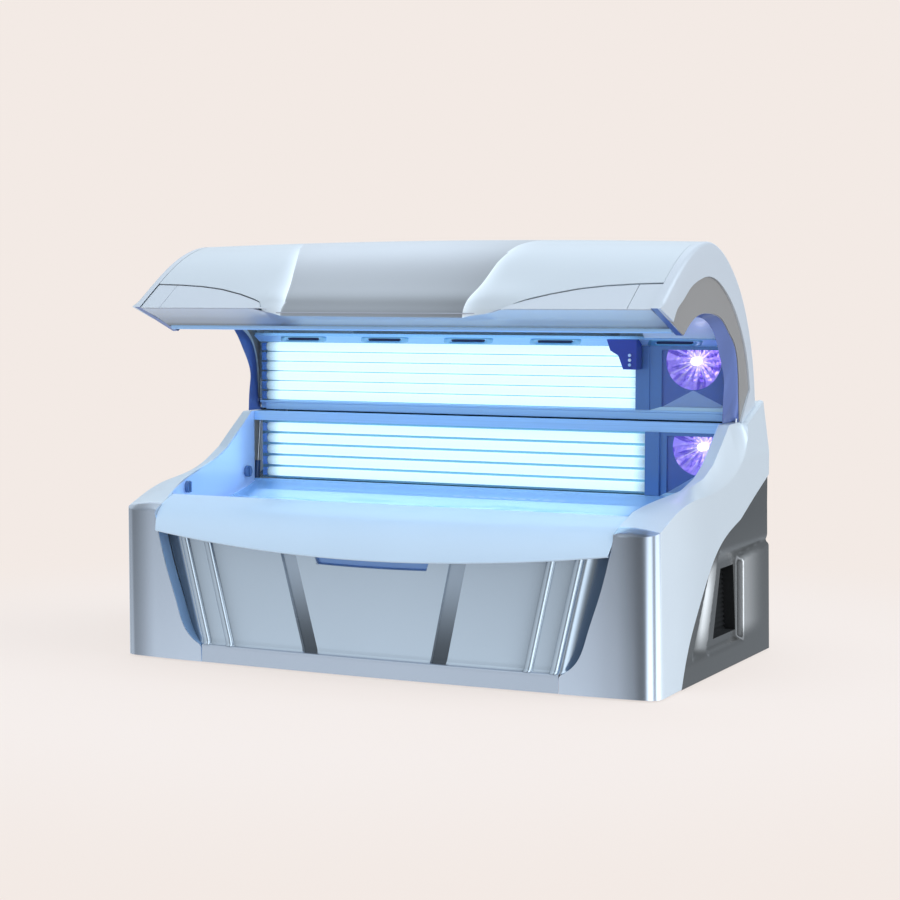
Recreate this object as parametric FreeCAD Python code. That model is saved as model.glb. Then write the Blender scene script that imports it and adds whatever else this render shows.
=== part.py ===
# Clamshell tanning bed: a base to lie on and a canopy that swings down over it.
# Millimetres. X runs along the bed with the head end at +X, Y runs to the back, Z is up.
# The origin is on the floor, in the middle of the bed. The canopy stands open.
import FreeCAD, Part
import math
import os

Vector = FreeCAD.Vector

# Overall sizes
half_length = 1150.0
back_face = 670.0
front_reach = 670.0
floor_gap = 6.0
play = 0.3
seam = 0.8

# Moulded covers of the base
cover_wall = 4.0
side_face = half_length - 39
side_back = half_length - 9
ear_face = half_length - 37
pillar_height = 598.0
shoulder_height = 800.0
pillar_inner = half_length - 190
plinth_height = 76.0
plinth_end = half_length - 401
lip_end = half_length - 225
lip_crest_y = -452.0
lip_crest_z = 640.0
lip_edge_end = 510.0
lip_edge_middle = 457.0
lip_reach_end = 612.0
panel_thick = 14.0
rib_width = 34.0
rib_height = 7.0
channel_width = 66.0
channel_depth = 7.0
grip_half = 240.0
grip_height = 36.0
grip_depth = 9.0
panel_travel_gap = 3.0
dark_panel_thick = 3.0

# Bench and back wall of the base
sail_outer = half_length - 100
sail_thick = 4.0
acrylic_half = sail_outer - 30
ledge_width = 44.0
ledge_thick = 3.0
acrylic_thick = 8.0
wall_y = 326.0
wall_bottom = 637.0
wall_top = 889.0
rail_top = 928.0
rail_back = 360.0
rail_wall = 3.0

# Lamps
lamp_length = 2 * half_length - 540
lamp_radius = 19.0
cap_radius = 17.5
cap_length = 9.0
glass_wall = 1.0
holder_width = 34.0
holder_relief = 0.5
holder_thick = 20.0
holder_pocket = 10.0
base_wall_lamp_pitch = 48.0
canopy_wall_lamp_pitch = 42.0
bench_lamp_pitch = 52.0
reflector_gap = 6.0
reflector_thick = 1.5
acrylic_to_lamp = 8.0
base_wall_lamp_count = 5
canopy_wall_lamp_count = 6
bench_lamp_count = 13
overhead_lamp_count = 12
base_lamp_middle = -125.0
canopy_lamp_middle = -170.0

# Face lamps at the head end
base_divider = sail_outer - 280
canopy_divider = sail_outer - 328
base_face_x = sail_outer - 88
base_face_z = 833.0
canopy_face_x = sail_outer - 142
canopy_face_z = 1165.0
face_radius = 114.0
face_rebate = 4.0
face_border = 14.0
face_depth = 62.0
face_shell = 1.5
divider_post = 58.0
base_divider_thick = 11.0
canopy_divider_thick = 5.0
glass_thick = 5.0
bulb_radius = 16.0
bulb_length = 48.0

# Hinge and gas springs
pivot_y = 560.0
pivot_z = 940.0
pin_radius = 10.0
pin_play = 0.3
bracket_x = half_length - 104
bracket_thick = 12.0
arm_x = half_length - 85.5
arm_thick = 5.0
pin_end = half_length - 71
pocket_reach = 282.0
shroud_radius = 78.0
spring_x = half_length - 74
spring_low_y = 350.0
spring_low_z = 330.0
spring_top_y = 430.0
spring_top_z = 970.0
spring_body_radius = 12.0
spring_body_length = 380.0
spring_rod_radius = 5.0
eye_radius = 11.0
eye_thick = 8.0
eye_stud = 4.0
open_eye_play = 6.0

# Canopy
canopy_wall = 4.0
cap_inner = half_length - 88
cap_outer = half_length - 51.5
crown_height = 15.0
cap_bevel = 14.0
cap_face_depth = 12.0
cap_face_thick = 4.0
left_crease = [(-470.0, -560.0), (-430.0, -477.0), (-471.0, -355.0), (-509.0, -250.0), (-619.0, 5.0)]
right_crease = [(312.0, -560.0), (328.0, -468.0), (342.0, -365.0), (356.0, -257.0), (389.0, -122.0)]
hood_edge_z = 1357.0
trim_inner = 520.0

canopy_wall_y = 396.0
canopy_wall_bottom = 970.0
canopy_wall_top = 1224.0

# Control pod under the strip with the air slots
pod_right = canopy_divider - 22
pod_width = 130.0
pod_foot = 56.0
pod_front = 322.0
pod_back = 382.0
pod_bottom = 1132.0
button_radius = 6.0
button_length = 14.0
button_step = 19.0
button_travel = 2.0
button_names = ["start_button", "fan_button", "face_button"]

# Lock knobs on the inner side walls: Y and Z of each
knob_radius = 24.0
knob_depth = 14.0
knob_grip = 7.0
knob_places = [(-285.0, 652.0), (252.0, 672.0)]

# Inside the base
box_from_end = 390.0
box_length = 320.0
ballast_from_end = 350.0
ballast_pitch = 150.0
ballast_width = 60.0
ballast_count = 10
fan_x = 0.0
fan_y = 330.0
fan_radius = 125.0
fan_blades = 7

# Mains cable gland in the rear cover
gland_x = -640.0
gland_z = 120.0
gland_bore = 9.5
gland_body = 13.0

# Frame tubes and sheet
tube_width = 60.0
tube_height = 40.0
tube_wall = 2.5
frame_x = half_length - 130
frame_front = -420.0
frame_back = 600.0
frame_low = 34.0
pan_thick = 2.0
foot_radius = 25.0
foot_inset = 120.0
canopy_tube = 30.0
post_width = 22.0
screw_places = [120.0 - frame_x, -450.0, 0.0, 450.0, frame_x - 120.0]
skin_bar_pitch = 330.0
skin_bar_count = 3
arch_bar_pitch = 200.0
arch_bar_count = 3


def side(y, z):
    return Vector(0, y, z)


def front(x, z):
    return Vector(x, 0, z)


def plan(x, y):
    return Vector(x, y, 0)


# Smooth line through points
def smooth(points):
    curve = Part.BSplineCurve()
    curve.interpolate(points)
    return curve.toShape()


# Closed wire: each stretch is a list of points, one for a straight line, more for a smooth line
def outline(at, start, *stretches):
    edges = []
    last = at(*start)
    first = last
    for stretch in stretches:
        points = [last] + [at(*p) for p in stretch]
        edges.append(smooth(points) if len(points) > 2 else Part.makeLine(*points))
        last = points[-1]
    if not last.isEqual(first, 1e-6):
        edges.append(Part.makeLine(last, first))
    return Part.Wire(edges)


def slab_x(wire, x0, x1):
    shape = Part.Face(wire).extrude(Vector(x1 - x0, 0, 0))
    shape.translate(Vector(x0, 0, 0))
    return shape


def slab_y(wire, y0, y1):
    shape = Part.Face(wire).extrude(Vector(0, y1 - y0, 0))
    shape.translate(Vector(0, y0, 0))
    return shape


def slab_z(wire, z0, z1):
    shape = Part.Face(wire).extrude(Vector(0, 0, z1 - z0))
    shape.translate(Vector(0, 0, z0))
    return shape


def block(x0, x1, y0, y1, z0, z1):
    return Part.makeBox(x1 - x0, y1 - y0, z1 - z0, Vector(x0, y0, z0))


def rod(start, end, radius):
    way = end.sub(start)
    return Part.makeCylinder(radius, way.Length, start, way)


def rod_x(x0, x1, y, z, radius):
    return rod(Vector(x0, y, z), Vector(x1, y, z), radius)


def ring_x(x0, x1, y, z, outer, inner):
    return rod_x(x0, x1, y, z, outer).cut(rod_x(x0 - 1, x1 + 1, y, z, inner))


# Copy on the other end of the bed
def mirrored(shape):
    return shape.mirror(Vector(0, 0, 0), Vector(1, 0, 0))


def both(shape):
    return [shape, mirrored(shape)]


# Points of a line in the YZ plane, moved sideways by a distance, to the left of its travel
def shifted(points, distance):
    curve = Part.BSplineCurve()
    curve.interpolate([side(*p) for p in points])
    moved = []
    for point in points:
        tangent = curve.tangent(curve.parameter(side(*point)))[0]
        moved.append((point[0] - tangent.z * distance, point[1] + tangent.y * distance))
    return moved


# Closed wire of a strip that follows a YZ line, between two sideways distances
def strip(points, near, far):
    there = shifted(points, near)
    back = shifted(points, far)[::-1]
    return outline(side, there[0], there[1:], [back[0]], back[1:])


# Places along a YZ line: points and direction angles, spaced by a pitch about its middle
def spaced(points, count, pitch):
    curve = Part.BSplineCurve()
    curve.interpolate([side(*p) for p in points])
    length = curve.length()
    places = []
    for n in range(count):
        along = length / 2 + (n - (count - 1) / 2) * pitch
        at = curve.parameterAtDistance(along, curve.FirstParameter)
        tangent = curve.tangent(at)[0]
        spot = curve.value(at)
        places.append((spot.y, spot.z, math.degrees(math.atan2(tangent.z, tangent.y))))
    return places


# Lines of the base, seen from the end of the bed
bench_line = [(-446, 634), (-300, 596), (-120, 575), (60, 584), (190, 606), (300, 638)]
ridge_crease = [(-640, 566), (-529, 598), (-430, 632), (-244, 674), (-120, 682), (0, 688),
                (125, 703), (249, 736)]
ear_line = [(249, 736), (345, 788), (408, 854), (437, 924)]
ear_tip = (664, 1000)
# along the ridge: y, how far its blade lies in from the end, z of the blade and z of its outer crease
ridge_sections = [(-640, 198, 566, 566), (-529, 192, 612, 598), (-430, 178, 655, 632),
                  (-300, 140, 684, 664), (-140, 88, 707, 681), (0, 62, 742, 688),
                  (100, 58, 786, 699), (200, 58, 856, 720), (300, 60, 935, 762)]
# front of an end housing seen from above, at the floor and at the pillar's top:
# distance in from the end, and y
foot_corner = [(250, -581), (125, -572), (66, -562), (46, -550), (35, -531), (31, -505)]
head_corner = [(250, -593), (130, -582), (72, -570), (52, -558), (42, -540), (39, -515)]

# Lines of the canopy, seen from the end of the bed
canopy_line = [(-517, 1379), (-392, 1462), (-247, 1549), (-100, 1606), (30, 1623), (170, 1596),
               (290, 1536), (400, 1452), (490, 1345), (560, 1215), (600, 1090), (617, 994)]
arch_line = [(352, 1256), (285, 1300), (190, 1334), (78, 1354), (-44, 1354), (-132, 1336),
             (-203, 1310), (-262, 1296)]
face_outer = [(-376, 1331), (-335, 1376), (-281, 1403), (-198, 1448), (-98, 1479), (4, 1493),
              (94, 1485), (219, 1440), (317, 1381), (417, 1291), (495, 1180), (540, 1050)]
mouth_line = [(-245, 1279), (-203, 1304), (-132, 1336), (-44, 1354), (78, 1354), (219, 1322),
              (285, 1282), (366, 1226), (404, 1150), (418, 1040), (428, 930)]
blade_line = [(-245, 1279), (-203, 1304), (-132, 1330), (-44, 1342), (60, 1335), (150, 1302),
              (212, 1252), (256, 1195), (292, 1145), (311, 1106), (316, 1075), (311, 1043),
              (304, 1000), (299, 930)]


# --- base ---


# Inner edge of a pillar, seen from the front
pillar_edge = [(pillar_inner, 640), (pillar_inner - 2, 598), (pillar_inner - 19, 506),
               (pillar_inner - 56, 365), (pillar_inner - 102, 225), (pillar_inner - 142, 125),
               (plinth_end + 1, plinth_height)]


def between(a, b, share):
    return a + (b - a) * share


# How far out the side of an end housing stands at a place along Y and a height
def side_at(y, z):
    foot_depth, foot_start = foot_corner[-1]
    head_depth, head_start = head_corner[-1]
    cover_back = back_face - 5
    foot_share = (y - foot_start) / (cover_back - foot_start)
    head_share = max(y - head_start, 0) / (cover_back - head_start)
    foot = between(half_length - foot_depth, half_length, foot_share)
    head = between(half_length - head_depth, side_back, head_share)
    return between(foot, head, min((z - floor_gap) / (pillar_height - floor_gap), 1))


# Whole end housing of the head end as a mass, its walls moved inwards
def side_mass(inset):
    sections = []
    for y, depth, blade, crease in ridge_sections:
        spot = lambda u, v, y=y: Vector(u, y, v)
        low = floor_gap - inset
        sections.append(outline(spot, (pillar_inner - 60, low), [(pillar_inner - 60, blade - inset)],
                                [(half_length - depth, blade - inset)],
                                [(side_at(y, pillar_height) - inset / 2, crease - inset)],
                                [(half_length + 20, crease - inset - 40)],
                                [(half_length + 20, low)]))
    ridge = Part.makeLoft(sections, True, False)
    low_front = outline(front, (half_length + 20, floor_gap - inset), [(half_length + 20, 700)],
                        [pillar_edge[0]], pillar_edge[1:],
                        [(plinth_end + 1, floor_gap - inset)])
    pillar = slab_y(low_front, -640, -500 - inset)
    under_top = outline(side, (-640, floor_gap - inset), [(-640, 566 - inset)],
                        [(y, z - inset) for y, z in ridge_crease[1:]],
                        [(ridge_crease[-1][0], floor_gap - inset)])
    pillar = pillar.common(slab_x(under_top, half_length - 450, half_length + 30))
    ear = outline(side, (ridge_crease[-1][0], floor_gap - inset),
                  [(ear_line[0][0], ear_line[0][1] - inset)],
                  [(y, z - inset) for y, z in ear_line[1:]],
                  [(ear_tip[0], ear_tip[1] - inset)], [(ear_tip[0], floor_gap - inset)])
    ear = slab_x(ear, sail_outer + play, half_length + 30)
    mass = ridge.fuse([pillar, ear])
    return mass.common(side_plan(inset))


# Room inside the outer faces of an end housing, seen from above, wider at the floor
def side_plan(inset):
    levels = ((floor_gap - inset, foot_corner, -586, half_length),
              (pillar_height, head_corner, -600, side_back),
              (shoulder_height, head_corner, -600, side_back),
              (1010, head_corner, -600, ear_face))
    start_x = half_length - 450
    wires = []
    for z, curve, start, face in levels:
        spot = lambda u, v, z=z: Vector(u, v, z)
        near = [(half_length - depth - inset * (depth < 100), y + inset) for depth, y in curve]
        near[-1] = (near[-1][0], curve[-1][1])
        wires.append(outline(spot, (start_x, start + inset), near, [(face - inset, back_face - 5 - inset)],
                             [(start_x, back_face - 5 - inset)]))
    return Part.makeLoft(wires, True, True)


# Outline of the dark lower rear part of the housing, grown by a distance
def dark_region(grow):
    wire = outline(side, (-335 - grow, -20), [(-335 - grow, 2)],
                   [(-261 - grow, 142 + grow), (-152 - grow, 273 + grow), (76 - grow, 476 + grow),
                    (322 - grow, 560 + grow)], [(500, 640 + grow)], [(700, 724 + grow)], [(700, -20)])
    return slab_x(wire, side_face - 40, half_length + 60)


vent_corners = [(161, 386), (307, 387), (329, 133), (73, 125)]


def vent_hole(grow):
    middle_y = sum(y for y, z in vent_corners) / 4
    middle_z = sum(z for y, z in vent_corners) / 4
    points = [(y + math.copysign(grow, y - middle_y), z + math.copysign(grow, z - middle_z))
              for y, z in vent_corners]
    wire = outline(side, points[0], [points[1]], [points[2]], [points[3]])
    return slab_x(wire, side_face - 60, half_length + 60)


# Space under the hinge that the canopy leg swings through
def leg_pocket():
    return rod_x(pillar_inner, cap_outer + 2, pivot_y, pivot_z, pocket_reach)


def side_cover(mass, hollow):
    walls = [(half_length - 150, -330), (half_length - 104, -140), (sail_outer, 0)]
    start_x = half_length - 450
    tunnel = slab_z(outline(plan, (start_x, -445), [(half_length - 180, -445)], walls,
                            [(sail_outer, 700)], [(start_x, 700)]), -20, 1100)
    doorway = between_pillars(0).common(block(-half_length, half_length, -700, -444, -20, 1100))
    cover = mass.cut([hollow, tunnel, doorway, leg_pocket(), dark_region(0)])
    return max(cover.Solids, key=lambda solid: solid.Volume)


def side_panel(mass):
    skin = mass.cut(side_mass(dark_panel_thick)).common(dark_region(-seam))
    skin = skin.cut([vent_hole(0), block(0, sail_outer + 2, -700, 700, -50, 1100)])
    return max(skin.Solids, key=lambda solid: solid.Volume)


# Black slats behind each vent
def side_vent():
    behind_panel = side_mass(dark_panel_thick + play)
    frame = behind_panel.cut(side_mass(dark_panel_thick + play + 8))
    frame = frame.common(vent_hole(12)).cut(block(0, sail_outer + 2, -700, 700, -50, 1100))
    slots = []
    low = min(z for y, z in vent_corners) + 12
    high = max(z for y, z in vent_corners) - 12
    for n in range(int((high - low) / 18)):
        spot = low + n * 18
        slots.append(block(sail_outer, half_length + 40, 95 + n * 4, 312 - n * 0.5, spot, spot + 9))
    return frame.cut(slots)


def plinth():
    bow = [(-plinth_end + 2, -584), (-400, -592), (0, -596), (400, -592), (plinth_end - 2, -584)]
    inner = [(x, y + cover_wall) for x, y in reversed(bow)]
    face = slab_z(outline(plan, bow[0], bow[1:], [inner[0]], inner[1:]), floor_gap, plinth_height)
    shelf = slab_z(outline(plan, bow[0], bow[1:], [(plinth_end - 2, -530)], [(-plinth_end + 2, -530)]),
                   plinth_height - cover_wall, plinth_height)
    return face.fuse(shelf).removeSplitter()


# How far the front bows out at a place along the bed: 1 in the middle, 0 at the pillars
def bow_at(x):
    return 1 - (x / lip_end) ** 2


def lip_points(x):
    reach = lip_reach_end + (front_reach - lip_reach_end) * bow_at(x)
    edge = lip_edge_end + (lip_edge_middle - lip_edge_end) * bow_at(x)
    crest = (lip_crest_y, lip_crest_z)
    return [crest, (lip_crest_y - (reach + lip_crest_y) * 0.42, crest[1] - (crest[1] - edge) * 0.2),
            (lip_crest_y - (reach + lip_crest_y) * 0.8, crest[1] - (crest[1] - edge) * 0.56), (-reach, edge)]


# Room between the pillars, seen from the front, with a gap to each pillar's inner edge
def between_pillars(gap):
    right = [(x - gap, z) for x, z in pillar_edge]
    left = [(-x, z) for x, z in reversed(right)]
    wire = outline(front, (right[0][0], 700), [right[0]], right[1:],
                   [left[0]], left[1:], [(left[-1][0], 700)])
    return slab_y(wire, -700, -400)


# Long pale band over the front panel, closed at both ends
def front_lip():
    wires = []
    for share in (-1.0, -0.5, 0.0, 0.5, 1.0):
        x = share * pillar_inner
        outer = lip_points(x)
        inner = shifted(outer, cover_wall)
        spot = lambda y, z, x=x: Vector(x, y, z)
        wires.append(outline(spot, outer[0], outer[1:], [inner[-1]], inner[-2::-1]))
    band = Part.makeLoft(wires, True, False)
    web = block(-pillar_inner, pillar_inner, lip_crest_y, lip_crest_y + 3, lip_crest_z - 60, lip_crest_z - 1)
    seat = bench_line[0][1] - acrylic_thick - 3.5
    ledge_end = lip_end - 12
    ledge = block(-ledge_end, ledge_end, lip_crest_y + 3, lip_crest_y + 14, seat - 4, seat)
    end = lip_points(pillar_inner)
    cheek = outline(side, end[0], end[1:], [(end[-1][0] + 46, end[-1][1])],
                    [(lip_crest_y - 14, lip_crest_z - 50)])
    cheeks = both(slab_x(cheek, lip_end + 8, pillar_inner))
    return band.fuse([web, ledge] + cheeks).common(between_pillars(seam))


# Ruled block of the front panel, thinner by an inset from its front face
def panel_block(inset):
    low_end = pillar_inner - 100
    high_end = pillar_inner - 30
    bottom = [(-low_end, -566), (-500, -572), (0, -576), (500, -572), (low_end, -566)]
    top = [(-high_end, -572), (-500, -590), (0, -602), (500, -590), (high_end, -572)]
    wires = []
    for z, curve in ((plinth_height, bottom), (lip_edge_end, top)):
        spot = lambda u, v, z=z: Vector(u, v, z)
        near = [(x, y + inset) for x, y in curve]
        far = [(x, y + panel_thick) for x, y in reversed(curve)]
        wires.append(outline(spot, near[0], near[1:], [far[0]], far[1:]))
    return Part.makeLoft(wires, True, True)


# Room under the lip, seen from the front
def under_lip(gap):
    places = (-pillar_inner, -lip_end / 2, 0, lip_end / 2, pillar_inner)
    edge = [(x, lip_points(x)[-1][1] - gap) for x in places]
    low = plinth_height + play
    wire = outline(front, edge[0], edge[1:], [(pillar_inner, low)], [(-pillar_inner, low)])
    return slab_y(wire, -700, -400)


def slanted_bar(top_x, bottom_x, width, y0, y1):
    low = plinth_height
    high = lip_edge_end + 20
    wire = outline(front, (bottom_x - width / 2, low), [(bottom_x + width / 2, low)],
                   [(top_x + width / 2, high)], [(top_x - width / 2, high)])
    return slab_y(wire, y0, y1)


def front_panel():
    panel = panel_block(0)
    raised = panel_block(-rib_height).cut(panel_block(0))
    for top_in, bottom_in in ((130, 22), (235, 124)):
        for sign in (1, -1):
            bar = slanted_bar(sign * (pillar_inner - top_in), sign * (plinth_end - bottom_in),
                              rib_width, -700, -500)
            panel = panel.fuse(raised.common(bar))
    carved = panel_block(0).cut(panel_block(channel_depth))
    for sign in (1, -1):
        panel = panel.cut(carved.common(slanted_bar(sign * 368, sign * 268, channel_width, -700, -500)))
    grip = panel_block(0).cut(panel_block(grip_depth))
    grip = grip.common(block(-grip_half, grip_half, -700, -500,
                             lip_edge_middle - panel_travel_gap - grip_height, lip_edge_end))
    panel = panel.common(between_pillars(panel_travel_gap)).common(under_lip(panel_travel_gap))
    return panel.cut(grip)


def rear_cover():
    reach = sail_outer - 1
    plate = block(-reach, reach, back_face - 8, back_face - 5, floor_gap, rail_top)
    top = block(-reach, reach, pivot_y + shroud_radius + 4, back_face - 5, rail_top - 3, rail_top)
    bottom = block(-reach, reach, frame_back + 1, back_face - 5, floor_gap, floor_gap + 3)
    holes = []
    for n in range(-4, 5):
        holes.append(block(n * 60 - 20, n * 60 + 20, back_face - 12, back_face, 560, 568))
    inlet = Vector(gland_x, back_face - 12, gland_z)
    holes.append(rod(inlet, Vector(gland_x, back_face, gland_z), gland_body + play))
    return plate.fuse([top, bottom]).cut(holes)


def lamp_depth():
    return acrylic_thick + acrylic_to_lamp + 2 * lamp_radius + reflector_gap


# Hollow inside a square tube
def tube_core(tube):
    room = tube.BoundBox
    return block(room.XMin + tube_wall, room.XMax - tube_wall, room.YMin + tube_wall, room.YMax - tube_wall,
                 room.ZMin + tube_wall, room.ZMax - tube_wall)


# Welded tubes: floor rectangle, posts to the hinges and the bench, rests and stand-offs for the covers
def base_frame():
    low, high = frame_low, frame_low + tube_height
    bars = [block(-frame_x - tube_width, frame_x + tube_width, y, y + tube_width, low, high)
            for y in (frame_front, frame_back - tube_width)]
    for x in (-frame_x - tube_width, -tube_width / 2, frame_x):
        bars.append(block(x, x + tube_width, frame_front, frame_back, low, high))
    bench_low = min(z for y, z in bench_line) - lamp_depth() - reflector_thick - 3 * play
    for x in (-frame_x, frame_x - post_width):
        bars.append(block(x, x + post_width, pivot_y - 32, pivot_y + 32, low, pivot_z - 60))
        bars.append(block(x, x + post_width, pivot_y, back_face - 8 - play, pivot_z - 100, pivot_z - 60))
        bars.append(block(x, x + post_width, frame_front, frame_front + 40, low, bench_low))
    bars.append(block(-frame_x, frame_x, pivot_y - 20, pivot_y + 20, bench_low - 30, bench_low))
    bars.append(block(-frame_x, frame_x, frame_front + 8, frame_front + 32, bench_low - 40, bench_low - 10))
    for x in (-700, -100, 500):
        bars.append(block(x, x + 30, frame_front + 10, pivot_y, bench_low - 26, bench_low))
    for x in (-700, 0, 700):
        bars.append(block(x - 15, x + 15, -574, frame_front + 1, low + 4, plinth_height - cover_wall - play))
    for x in screw_places:
        bars.append(block(x - 15, x + 15, frame_back - 1, back_face - 8 - play, low, high))
    for sign in (1, -1):
        for y, wall in ((-390, cover_wall), (300, dark_panel_thick)):
            inner, outer = sorted((sign * frame_x, sign * (side_at(y, 60) - wall - 2 * play)))
            bars.append(block(inner, outer, y, y + 30, low + 4, 60))
        inner, outer = sorted((sign * frame_x, sign * (frame_x + 40)))
        bars.append(block(inner, outer, spring_low_y - 20, spring_low_y + 20,
                          high - 1, spring_low_z + 20))
    studs = [rod_x(sign * (frame_x + 38), sign * (spring_x + eye_thick),
                   spring_low_y, spring_low_z, eye_stud) for sign in (1, -1)]
    return bars[0].fuse(bars[1:]).cut([tube_core(bar) for bar in bars]).fuse(studs)


def levelling_feet():
    feet = []
    for x in (-frame_x - tube_width / 2, 0, frame_x + tube_width / 2):
        for y in (frame_front + foot_inset, frame_back - foot_inset):
            pad = Part.makeCylinder(foot_radius, 12, Vector(x, y, 0))
            stem = Part.makeCylinder(8, frame_low - 12, Vector(x, y, 12))
            feet.append(pad.fuse(stem))
    return feet


def floor_pan():
    low = frame_low + tube_height
    sheet = block(-frame_x + 2, frame_x - 2, frame_front + 2, frame_back - 62, low, low + pan_thick)
    for x in (-frame_x, frame_x - post_width):
        sheet = sheet.cut(block(x - 1, x + post_width + 1, pivot_y - 40, pivot_y + 40, 0, 300))
        sheet = sheet.cut(block(x - 1, x + post_width + 1, frame_front - 1, frame_front + 41, 0, 300))
    return sheet


# --- lamps ---


# A lamp with its two caps
def lamp(middle, y, z):
    half = lamp_length / 2
    glass = rod_x(middle - half + cap_length, middle + half - cap_length, y, z, lamp_radius)
    caps = rod_x(middle - half, middle + half, y, z, cap_radius)
    hollow = rod_x(middle - half + 2 * cap_length, middle + half - 2 * cap_length,
                   y, z, lamp_radius - glass_wall)
    return glass.fuse(caps).cut(hollow)


# Two holders for a lamp, turned to face along the angle, standing on the reflector
def lampholders(middle, y, z, angle):
    holders = []
    back = lamp_radius + reflector_gap - play - holder_relief
    for sign in (1, -1):
        face = middle + sign * (lamp_length / 2 - holder_pocket)
        low = min(face, face + sign * holder_thick)
        body = block(low, low + holder_thick, -holder_width / 2, holder_width / 2, -lamp_radius - 2, back)
        body.rotate(Vector(0, 0, 0), Vector(1, 0, 0), angle)
        body.translate(Vector(0, y, z))
        pocket = rod_x(face - sign * 1, face + sign * (holder_pocket + play), y, z, lamp_radius + play)
        holders.append(body.cut(pocket))
    return holders


# Bench lamps under the acrylic, then the wall lamps behind the back wall: y, z, angle
def bench_lamp_places():
    below = acrylic_thick + acrylic_to_lamp + lamp_radius
    places = spaced(shifted(bench_line, -below), bench_lamp_count, bench_lamp_pitch)
    return [(y, z, angle + 180) for y, z, angle in places]


def wall_lamp_places():
    y = wall_y + acrylic_thick / 2 + acrylic_to_lamp + lamp_radius
    middle = (wall_bottom + wall_top) / 2
    first = middle - (base_wall_lamp_count - 1) / 2 * base_wall_lamp_pitch
    return [(y, first + n * base_wall_lamp_pitch, -90) for n in range(base_wall_lamp_count)]


def overhead_lamp_places():
    above = acrylic_thick + acrylic_to_lamp + lamp_radius
    line = shifted(arch_line, -above)
    return [(y, z, a - 180) for y, z, a in spaced(line, overhead_lamp_count, bench_lamp_pitch)]


def canopy_wall_lamp_places():
    y = canopy_wall_y + acrylic_thick + acrylic_to_lamp + lamp_radius
    middle = (canopy_wall_bottom + canopy_wall_top) / 2
    first = middle - (canopy_wall_lamp_count - 1) / 2 * canopy_wall_lamp_pitch
    return [(y, first + n * canopy_wall_lamp_pitch, -90) for n in range(canopy_wall_lamp_count)]


def bench_reflector():
    depth = lamp_depth()
    return slab_x(strip(bench_line, -depth, -depth - reflector_thick), -sail_outer + 8, sail_outer - 8)


def wall_reflector():
    y = wall_lamp_places()[0][0] + lamp_radius + reflector_gap
    return block(-sail_outer + 8, base_divider - seam, y, y + reflector_thick, wall_bottom, wall_top - play)


def canopy_reflector():
    depth = lamp_depth()
    y = canopy_wall_lamp_places()[0][0] + lamp_radius + reflector_gap
    reach = cap_inner - play
    arch = slab_x(strip(arch_line, -depth, -depth - reflector_thick), -reach, reach)
    wall = block(-reach, canopy_divider - seam, y, y + reflector_thick,
                 canopy_wall_bottom + play, canopy_wall_top + 8)
    return [arch, wall]


# --- acrylics and rails ---


# Narrower at the front, where the inner walls close in
def bench_acrylic():
    sheet = slab_x(strip(bench_line, 0, -acrylic_thick), -acrylic_half, acrylic_half)
    right = [(acrylic_half - 88, -460), (acrylic_half - 62, -330), (acrylic_half - 22, -200),
             (acrylic_half, -90), (acrylic_half, 330)]
    left = [(-x, y) for x, y in reversed(right)]
    edges = [[p] for p in right[1:] + left]
    return sheet.common(slab_z(outline(plan, right[0], *edges), 500, 700))


def wall_acrylic():
    return block(-acrylic_half, base_divider - seam, wall_y - acrylic_thick / 2, wall_y + acrylic_thick / 2,
                 wall_bottom + play, wall_top - play)


def base_rails():
    reach = sail_outer - sail_thick - 2 * play
    top = block(-reach, reach, wall_y - 8, rail_back, wall_top, rail_top)
    top = top.cut(block(-reach - 1, reach + 1, wall_y - 8 + rail_wall, rail_back - rail_wall,
                        wall_top + rail_wall, rail_top - rail_wall))
    lamp_back = wall_lamp_places()[0][0] + lamp_radius + reflector_gap + reflector_thick
    top = top.fuse(block(-reach, reach, rail_back - 1, lamp_back, wall_top, wall_top + rail_wall))
    low = block(-reach, reach, bench_line[-1][0] + 10, wall_y + 12, wall_bottom - 10, wall_bottom)
    foot = block(-reach, reach, wall_y + 4, wall_y + 12, 600, wall_bottom - 10)
    return [top, low.fuse(foot)]


def canopy_acrylic():
    reach = cap_inner - play
    arch = slab_x(strip(arch_line, 0, -acrylic_thick), -reach, canopy_divider - seam)
    wall = block(-reach, canopy_divider - seam, canopy_wall_y, canopy_wall_y + acrylic_thick,
                 canopy_wall_bottom + play, canopy_wall_top - play)
    return [arch, wall]


# Bottom rail of the canopy and the strip with air slots over the lamps
def canopy_rear_rail():
    reach = cap_inner - play
    rail = block(-reach, reach, canopy_wall_y + 10, 478, 936, canopy_wall_bottom)
    rail = rail.cut(block(-reach - 1, reach + 1, canopy_wall_y + 10 + rail_wall, 478 - rail_wall,
                          936 + rail_wall, canopy_wall_bottom - rail_wall))
    lip = block(-reach, reach, canopy_wall_y - 2, canopy_wall_y + 10, 962, canopy_wall_bottom)
    band = outline(side, (canopy_wall_y - 2, canopy_wall_top), [(348, 1251)], [(360, 1262)],
                   [(canopy_wall_y + 12, canopy_wall_top)])
    vents = slab_x(band, -reach, reach)
    slots = []
    for x in (-830, -440, -53, 334, 842):
        slots.append(block(x - 78, x + 78, 330, 430, canopy_wall_top + 8, canopy_wall_top + 21))
    return [rail.fuse(lip), vents.cut(slots)]


# --- face lamps ---


# How far a face lamp's bowl reaches back at a distance from its axis
def bowl_depth(y, radius):
    return y + glass_thick + 3 + face_depth * (1 - (radius / face_radius) ** 2)


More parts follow.
